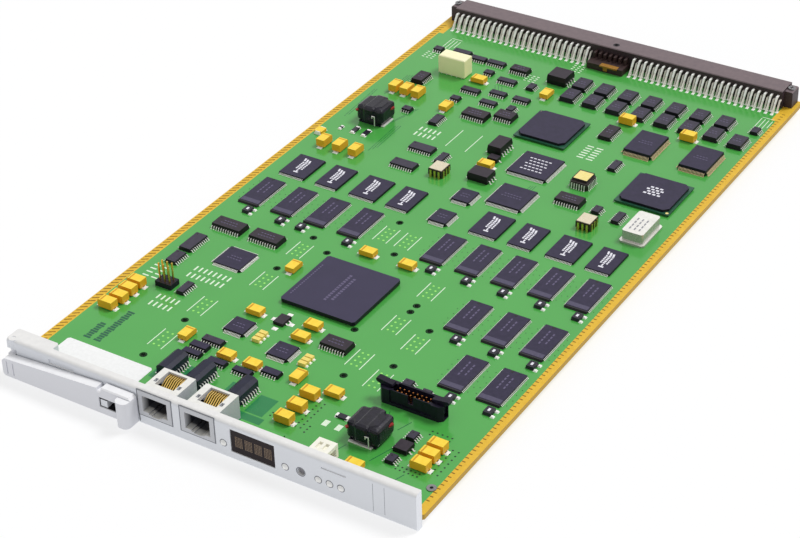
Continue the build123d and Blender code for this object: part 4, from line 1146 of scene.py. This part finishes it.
class CARD_OT_connector_details(bpy.types.Operator):
    """Add the connector's screw slots in painted shade, pin hooks, soldered feet and key"""

    bl_idname = "card.connector_details"
    bl_label = "Connector details"

    def slots(self):
        """Painted shade of crossed slots in both screws."""
        with piece("screw_slot_shades", "matt_black_and_shade", "pin_steel") as bm:
            for low, high in solids("connector_screws"):
                centre = (low + high) / 2
                for width, depth in ((2.4, 0.45), (0.45, 2.4)):
                    block(bm, (centre.x - width / 2, centre.y - depth / 2, high.z - 0.1),
                          (centre.x + width / 2, centre.y + depth / 2, high.z + FILM))

    def pins(self):
        """Solder at the foot of every pin, and a bent hook over each pin of the front row."""
        with piece("soldered_feet", "wet_solder", "solder_tin") as feet:
            for pair in solids(*PIN_FIELDS):
                solder_pad(feet, plan(pair)[0], pair[0].y - FRONT + 0.5, 1.5, 2.0, 0.3)
        with piece("pin_hooks", "wet_solder", "pin_tin") as hooks:
            for node in PIN_FIELDS:
                pairs = solids(node)
                front_row = min(low.y for low, high in pairs) + 0.5
                for low, high in pairs:
                    if low.y < front_row:
                        hook = lead_row(count=1, pitch=1.0, width=0.95, shoulder=high.z - TOP + 0.1,
                                        reach=6.6, foot=1.0, thick=0.55)
                        stamp(hooks, hook, Matrix.Translation(((low.x + high.x) / 2, high.y, TOP)))

    def key(self):
        """The dark ribbed key block in the connector's gap, darker still in painted shade, with its amber
        strip, and a painted-shade ring round the rivet.
        """
        low, high = box_mm("backplane_connector")
        middle, front = LEFT + 97.5, low.y
        with piece("key_ribs", "shaded_key_moulding", "connector_plastic") as ribs:
            block(ribs, (middle - 9.8, front - 0.1, TOP), (middle + 9.8, front + 9.4, TOP + 3.3))
            for place in range(-3, 4):
                x = middle + place * 2.8
                block(ribs, (x - 0.6, front + 5.4, TOP + 3.2), (x + 0.6, front + 9.3, TOP + 6.4), 0.15)
        with piece("key_strip", "amber_resin", "connector_plastic") as amber:
            block(amber, (middle - 2.5, front - 0.5, TOP + 2.7), (middle + 7.0, front + 2.4, TOP + 3.45))
            block(amber, (middle - 0.6, front - 0.4, TOP + 0.8), (middle + 1.6, front, TOP + 2.8))
        # Painted shade: a dark ring for the well round the rivet
        with piece("rivet_well_shade", "matt_black_and_shade", "connector_plastic") as bm:
            ring(bm, (middle, FRONT + 344.5, high.z + FILM / 2 - 0.005), 1.7, 3.3)

    def execute(self, context):
        self.slots()
        self.pins()
        self.key()
        return {"FINISHED"}


class CARD_OT_tall_parts(bpy.types.Operator):
    """Finish the relay, oscillators and socket"""

    bl_idname = "card.tall_parts"
    bl_label = "Tall parts"

    def oscillators(self):
        """A soldered lid and gold leads on each ceramic oscillator, and grey marks on the metal one."""
        with (piece("oscillator_leads", "gold_flash", "contact_gold") as gold,
              piece("oscillator_lids", "soldered_lid", "ceramic_dark") as lids):
            for low, high in solids("ceramic_oscillators"):
                if high.z - TOP < 1.5:
                    continue
                rim, thickness = Vector((0.3, 0.3, 0)), Vector((0, 0, 0.35))
                block(lids, Vector((low.x, low.y, high.z)) + rim, high - rim + thickness, 0.1)
                top = high.z - 0.4
                for share in (0.2, 0.5, 0.8):
                    place = low.lerp(high, share)
                    for side in (low.x - 0.3, high.x - 0.1):
                        block(gold, (side, place.y - 0.5, TOP), (side + 0.4, place.y + 0.5, top))
                    for side in (low.y - 0.3, high.y - 0.1):
                        block(gold, (place.x - 0.5, side, TOP), (place.x + 0.5, side + 0.4, top))

    def relay_pins(self):
        """Two rows of five pins under the relay's edges."""
        low, high = box_mm("relay")
        with piece("relay_pins", "tinned_copper_alloy", "pin_tin") as pins:
            for x, y in field(low.x + 1.6, low.y + 0.4, 5, 2, 2.9, high.y - low.y - 0.8):
                block(pins, (x - 0.25, y - 0.35, TOP), (x + 0.25, y + 0.35, TOP + 0.9))

    def small_tantalum(self):
        """One small capacitor by the left border."""
        with piece("small_tantalum", "moulded_golden_case", "tantalum_yellow") as bm:
            block(bm, at(5.3, 210.2), at(9.5, 214.6, 1.8), 0.15)

    def can_marks(self):
        """Three rows of grey dashes on the metal oscillator."""
        can = box_mm("can_oscillator")
        u, v = plan(can)[:2]
        with piece("can_marks", "groove_shade", "can_metal") as marks:
            for mark_u, mark_v in field(u - 2.6, v - 5.5, 3, 4, 2.3, 2.6):
                flat_mark(marks, mark_u, mark_v, 0.7, 1.8, can[1].z - TOP)

    def socket_label(self):
        """The paper dot on the socketed chip."""
        low, high = box_mm("socketed_chip")
        centre = (low + high) / 2
        with piece("socketed_label", "yellowed_label", "label_white") as label:
            block(label, (centre.x - 3.4, centre.y - 3.2, high.z),
                  (centre.x + 3.4, centre.y + 3.8, high.z + 0.06))

    def execute(self, context):
        self.oscillators()
        self.relay_pins()
        self.small_tantalum()
        self.can_marks()
        self.socket_label()
        return {"FINISHED"}


# Stage


class CARD_OT_stage(bpy.types.Operator):
    """Set the floor, the lights and the camera"""

    bl_idname = "card.stage"
    bl_label = "Stage"

    def floor(self, settings):
        """A wide pale floor just under the card, lit from behind so that its shadows stay faint."""
        bm = bmesh.new()
        bmesh.ops.create_grid(bm, x_segments=1, y_segments=1, size=6.0)
        bmesh.ops.translate(bm, vec=(0, 0, -0.0002), verts=bm.verts)
        mesh = bpy.data.meshes.new("floor")
        bm.to_mesh(mesh)
        bm.free()
        material, tree = blank("white_paper_sweep")
        paper = add(tree, "ShaderNodeBsdfDiffuse", {"Color": linear("#FBFBFC")})
        glow = add(tree, "ShaderNodeEmission", {"Color": linear("#FFFFFF"), "Strength": 1.0})
        body = add(tree, "ShaderNodeMixShader", {0: settings.backlight},
                   {1: paper.outputs[0], 2: glow.outputs[0]})
        add(tree, "ShaderNodeOutputMaterial", links={"Surface": body.outputs[0]})
        mesh.materials.append(material)
        floor = bpy.data.objects.new("floor", mesh)
        bpy.context.scene.collection.objects.link(floor)

    def lights(self, settings):
        """Even light all round that is seen as pure white, and one soft key light from above and behind."""
        world = bpy.data.worlds.new("studio")
        bpy.context.scene.world = world
        world.use_nodes = True
        tree = world.node_tree
        tree.nodes.clear()
        path = add(tree, "ShaderNodeLightPath").outputs
        seen = maths(tree, "MAXIMUM", path["Is Camera Ray"], path["Is Glossy Ray"])
        seen = maths(tree, "MAXIMUM", seen, path["Is Transmission Ray"])
        light = add(tree, "ShaderNodeBackground", {"Color": linear("#FFFFFF")},
                    {"Strength": ranged(tree, seen, 0.0, 1.0, settings.fill_strength, 1.0)})
        add(tree, "ShaderNodeOutputWorld", links={"Surface": light.outputs[0]})
        lamp = bpy.data.lights.new("key", "SUN")
        lamp.energy = settings.key_strength
        lamp.angle = radians(settings.key_spread)
        key = bpy.data.objects.new("key", lamp)
        key.rotation_euler = (radians(settings.key_tilt), radians(settings.key_lean), 0)
        bpy.context.scene.collection.objects.link(key)

    def camera(self, settings):
        """The camera at the photograph's place and angle."""
        turn, lift, roll = (radians(angle) for angle in (settings.azimuth, settings.elevation, settings.roll))
        ahead = Vector((-sin(turn) * cos(lift), cos(turn) * cos(lift), -sin(lift)))
        across = ahead.cross(Vector((0, 0, 1))).normalized()
        upward = across.cross(ahead)
        right = cos(roll) * across + sin(roll) * upward
        up = cos(roll) * upward - sin(roll) * across
        data = bpy.data.cameras.new("camera")
        data.lens = settings.lens
        data.sensor_width = 36.0
        camera = bpy.data.objects.new("camera", data)
        matrix = Matrix((right, up, -ahead)).transposed().to_4x4()
        matrix.translation = settings.camera_place
        camera.matrix_world = matrix
        bpy.context.scene.collection.objects.link(camera)
        bpy.context.scene.camera = camera

    def execute(self, context):
        settings = context.scene.card_stage
        self.floor(settings)
        self.lights(settings)
        self.camera(settings)
        context.scene.view_settings.view_transform = "Standard"
        return {"FINISHED"}


SETTINGS = {
    "card_board": CardBoardSettings,
    "card_leads": CardLeadSettings,
    "card_stage": CardStageSettings,
}
STEPS = (
    CARD_OT_stage,
    CARD_OT_finishes,
    CARD_OT_border,
    CARD_OT_print,
    CARD_OT_leads,
    CARD_OT_marks,
    CARD_OT_solder,
    CARD_OT_wound,
    CARD_OT_plate_details,
    CARD_OT_connector_details,
    CARD_OT_tall_parts,
)


class CARD_PT_panel(bpy.types.Panel):
    """Lists the settings and the steps"""

    bl_idname = "CARD_PT_panel"
    bl_label = "Interface card"
    bl_space_type = "VIEW_3D"
    bl_region_type = "UI"
    bl_category = "Card"

    def draw(self, context):
        for group in SETTINGS:
            settings = getattr(context.scene, group)
            box = self.layout.box()
            for name in settings.__annotations__:
                box.prop(settings, name)
        for step in STEPS:
            self.layout.operator(step.bl_idname)


def register():
    """Register the settings, the steps and the panel."""
    for name, group in SETTINGS.items():
        bpy.utils.register_class(group)
        setattr(bpy.types.Scene, name, bpy.props.PointerProperty(type=group))
    for step in STEPS + (CARD_PT_panel,):
        bpy.utils.register_class(step)


def unregister():
    """Remove what register added."""
    for step in reversed(STEPS + (CARD_PT_panel,)):
        bpy.utils.unregister_class(step)
    for name, group in SETTINGS.items():
        delattr(bpy.types.Scene, name)
        bpy.utils.unregister_class(group)


def main():
    """Dress the card."""
    register()
    for step in STEPS:
        group, name = step.bl_idname.split(".")
        getattr(getattr(bpy.ops, group), name)()


if __name__ == "__main__":
    main()
